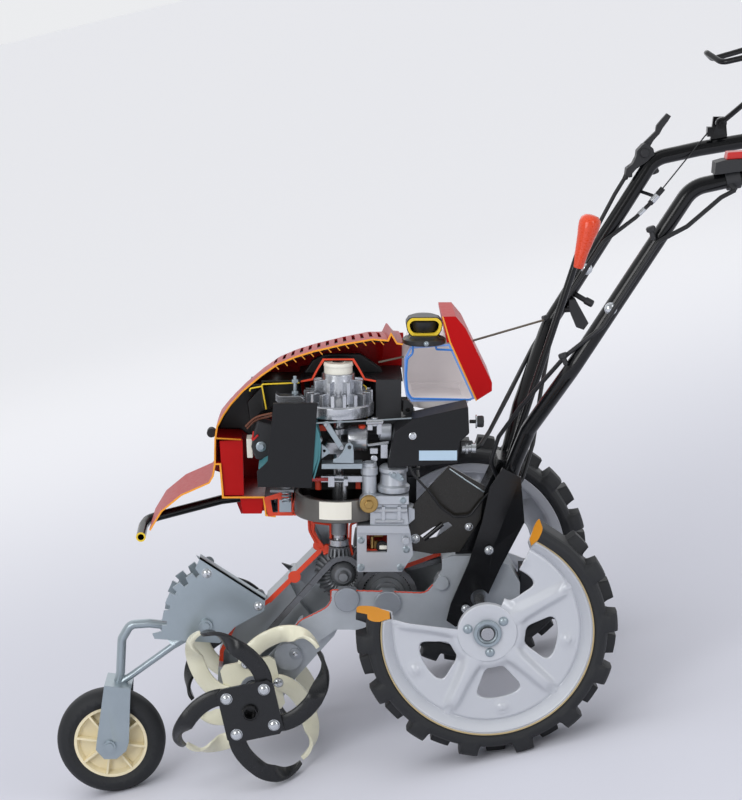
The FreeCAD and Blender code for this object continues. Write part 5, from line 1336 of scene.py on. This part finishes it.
neck_lines = [[(259, 140), (265, 115), (256, 108), (242, 105), (241, 85), (229, 61), (221, 60)],
              [(234, 97), (213, 94), (200.5, 97), (200.5, 67), (208, 56), (221, 50)],
              [(159, 108), (163, 102), (173, 98), (182, 94), (183, 63), (175, 32), (166, 25), (124, 26)],
              [(222, 62), (236, 82), (234, 97)], [(211, 94), (210, 66)]]
piece("neck_sawn_edges", [tube(np.insert(np.array(path, float), 1, 0.6, axis=1), 1.9, sides=8, bend=3.0)
                          for path in neck_lines] + [rod((216, -6, 57), (216, 1.6, 57), 7.0),
                                                     rod((230, -6, 62), (230, 1.6, 62), 6.0)],
      "vermilion casting paint")

# %% Clips, lever and switch on the bars
clips = [rod((-214, 190, 530), (-209, 190, 546), 3.4), rod((-211, 190, 541), (-208.6, 190, 547.6), 6.4, 1.5),
         rod((-104, 172, 360), (-99, 170, 374), 3.4), rod((-101, 171, 369), (-98.6, 170, 375.6), 6.4, 1.5),
         rod((-262, -190, 592), (-268, -190, 576), 3.4),
         rod((-266, -190, 581), (-269, -190, 573.6), 6.4, 1.5),
         rod((-152, -163, 398), (-166, -150, 391), 4.0), rod((-164, -152, 392), (-176, -148, 386), 5.6, 1.5)]
piece("bar_clips", clips, "black moulded nylon", crease=30)
lever_blade = [(-281, 663), (-287, 659), (-283, 652), (-275, 641), (-271, 633), (-267, 629), (-262, 623),
               (-256, 612), (-244, 610), (-249, 621), (-258, 630), (-265, 637), (-266, 645), (-273, 654)]
lever_foot = [(-246, 618), (-252, 621), (-262, 612), (-264, 603), (-259, 600), (-254, 594), (-245, 588),
              (-237, 582),
              (-232, 576), (-232, 571), (-227, 570), (-222, 574), (-223, 583), (-232, 590), (-237, 600),
              (-238, 609)]
lever_item = piece("throttle_lever_shaped", [prism(lever_blade, -181, -173), prism(lever_foot, -187, -168),
                                             rod((-249, -190, 606), (-249, -164, 606), 6.5, 0.8),
                                             rod((-230, -177, 586), (-222, -177, 567), 4.0)],
                   "black moulded nylon", soft_mm=1.0)
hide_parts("throttle_lever")
switch_item = piece("switch_box_slim", [prism([(-292, 631), (-291, 615), (-341, 622), (-341, 637),
                                               (-304, 634.4)], 162, 192),
                                        rod((-307, 177, 606.4), (-326, 177, 610.4), 14.0, 1.0),
                                        rod((-313, 186, 602), (-318, 194, 596), 4.2, 0.8)],
                    "black moulded nylon", soft_mm=1.2)
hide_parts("switch_box")
piece("cable_adjuster", [rod((-269, -165, 545.3), (-261, -165, 535.6), 4.9, 0.6),
                         rod((-251, -165, 525.2), (-242, -165, 516.2), 3.6, 0.8)], "bright zinc plate")

# %% Air box, side plate and nose trims
piece("air_box_label", [prism([(34, 202), (87, 202), (87, 216), (34, 216)], 58.8, 59.5)], "blank label film")
piece("air_box_knob", [rod((16, 40, 253), (5, 40, 253), 2.6),
                       turned([(0, 0.4), (0, 6.4), (1.6, 8), (8, 8.4), (10, 7), (10.6, 0.4)], (6, 40, 253),
                              (-1, 0, 0), 40)],
      "black moulded nylon", crease=30)
piece("air_box_fitting", [prism([(29, 227), (12, 227), (10, 222), (10, 214), (14, 210), (29, 210)], 44, 52)],
      "black moulded nylon", soft_mm=1.0)
piece("side_plate_strut", [rod((79, 36, 81), (52, 36, 104), 3.4)], "black enamel")
piece("side_plate_lip", [tube([(43, 33.6, 183.4), (20, 33.6, 167), (-6, 33.6, 149.6)], 1.2, sides=8,
                              bend=0.0)],
      "zinc plated steel")
piece("bumper_cut_ring", [turned([(-12.6, 4.6), (-12.6, 7.0), (-11.8, 7.0), (-11.8, 4.6)], (483, 0, 73),
                                 closed=True)],
      "yellow cut paint")
piece("bell_insert", [block((266, -6, 112), (284, 0.6, 131))], "zinc plated steel", soft_mm=1.2)
knob_line = [(0, 0.4), (0, 7.2), (2, 8.0), (22, 9.4), (44, 12.4), (56, 14.6), (64, 15.2), (70, 13.8),
             (74.4, 9.6), (75.6, 4.6), (75.8, 0.4)]
knob_item = piece("shift_knob_turned", [turned(knob_line, (-131, 40, 470), (-15, 0, 58), 64)],
                  "orange knob plastic", body_of_node["shift_knob"], crease=40)
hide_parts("shift_knob")
piece("bracket_cut_lines", [tube([(324, 0.5, 289), (323, 0.5, 293), (307, 0.5, 296), (306, 0.5, 299),
                                  (254, 0.5, 301)], 1.1,
                                 sides=8, bend=1.0),
                            tube([(307, 0.5, 298), (301, 0.5, 263)], 1.1, sides=8, bend=0.0),
                            tube([(165, 0.5, 298), (160, 0.5, 295), (159, 0.5, 251)], 1.0, sides=8,
                                 bend=0.0)],
      "yellow cut paint")
piece("air_box_stud", [rod((27, 50, 217), (12, 50, 217.6), 5.4), rod((22, 50, 217.2), (18, 50, 217.3), 8.0),
                       rod((14, 50, 217.5), (7, 50, 217.8), 7.2, 0.8)], "bright zinc plate")
piece("air_box_knob_ring", [rod((7.6, 40, 253), (5.6, 40, 253), 9.6, 0.5)], "bright zinc plate")
piece("tank_cut_line", [tube([(94, -0.4, 355), (94, -0.4, 342), (102, -0.4, 335), (103.4, -0.4, 310),
                              (101.6, -0.4, 288),
                              (96, -0.4, 277.4), (12, -0.4, 275.4)], 1.5, sides=8, bend=5.0),
                        tube([(62, -0.4, 355), (61, -0.4, 348), (38, -0.4, 347)], 1.5, sides=8, bend=2.0)],
      "blue cut paint")

# %% [markdown]
# ## Solids whose shape is right
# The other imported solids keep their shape. Each gets its finish and, where the real edge is broken, the
# radius in millimetres that rounds it.

# %% Dress the solids whose shape is right
SKINS = {
    "gauge_tyre": ("moulded tyre rubber", 0), "gauge_rim": ("cream wheel plastic", 0.8),
    "gauge_arm": ("zinc plated steel", 0.8),
    "rotor_sleeve": ("die cast aluminium", 0.6),
    "gear_case_right": ("case casting with painted light", 0.9), "gear_case_left": ("case casting with painted light", 1.4),
    "bell_housing": ("die cast aluminium", 0.8), "engine_block": ("dark engine casting", 0.8),
    "starter_cup": ("white nylon", 0.8), "starter_housing": ("black moulded nylon", 0.5),
    "shroud_bracket": ("yellow zinc strip", 0.3), "air_box": ("dark sheet enamel", 1.6),
    "front_shield": ("dark sheet enamel", 0.8), "fuel_tank": ("milky tank plastic", 1.0),
    "tank_bracket": ("black moulded nylon", 0.6), "tail_cover": ("red tail enamel", 0.8),
    "front_bumper": ("black enamel", 0), "column": ("black enamel", 1.0),
         "side_plate": ("brown black enamel", 0.6),
    "rear_hitch": ("dark engine casting", 1.0), "drive_axle": ("ground steel", 0.6),
    "bevel_pinion": ("oiled gear steel", 0.4),
    "axle_sprocket": ("oiled gear steel", 0.4), "rotor_sprocket": ("oiled gear steel", 0.4),
    "crankshaft": ("ground steel", 0.4), "handlebar_left": ("black enamel", 0),
    "handlebar_right": ("black enamel", 0), "hand_grips": ("grip rubber", 1.0),
    "shift_lever": ("black enamel", 0),
    "clutch_bail": ("black enamel", 0), "bail_brackets": ("black enamel", 0.8),
    "switch_button": ("signal red plastic", 1.2), "switch_cable": ("black cable jacket", 0),
    "throttle_cable": ("black cable jacket", 0), "clutch_cable": ("black cable jacket", 0),
    "stop_wire": ("black cable jacket", 0), "starter_rope": ("braided starter rope", 0),
    "starter_grip": ("black moulded nylon", 1.2),
}
for node in sorted(SKINS):
    softened(node, *SKINS[node])
print(len(SKINS), "packed solids dressed;", sorted(set(frame["nodes"]) - set(SKINS)), "left")
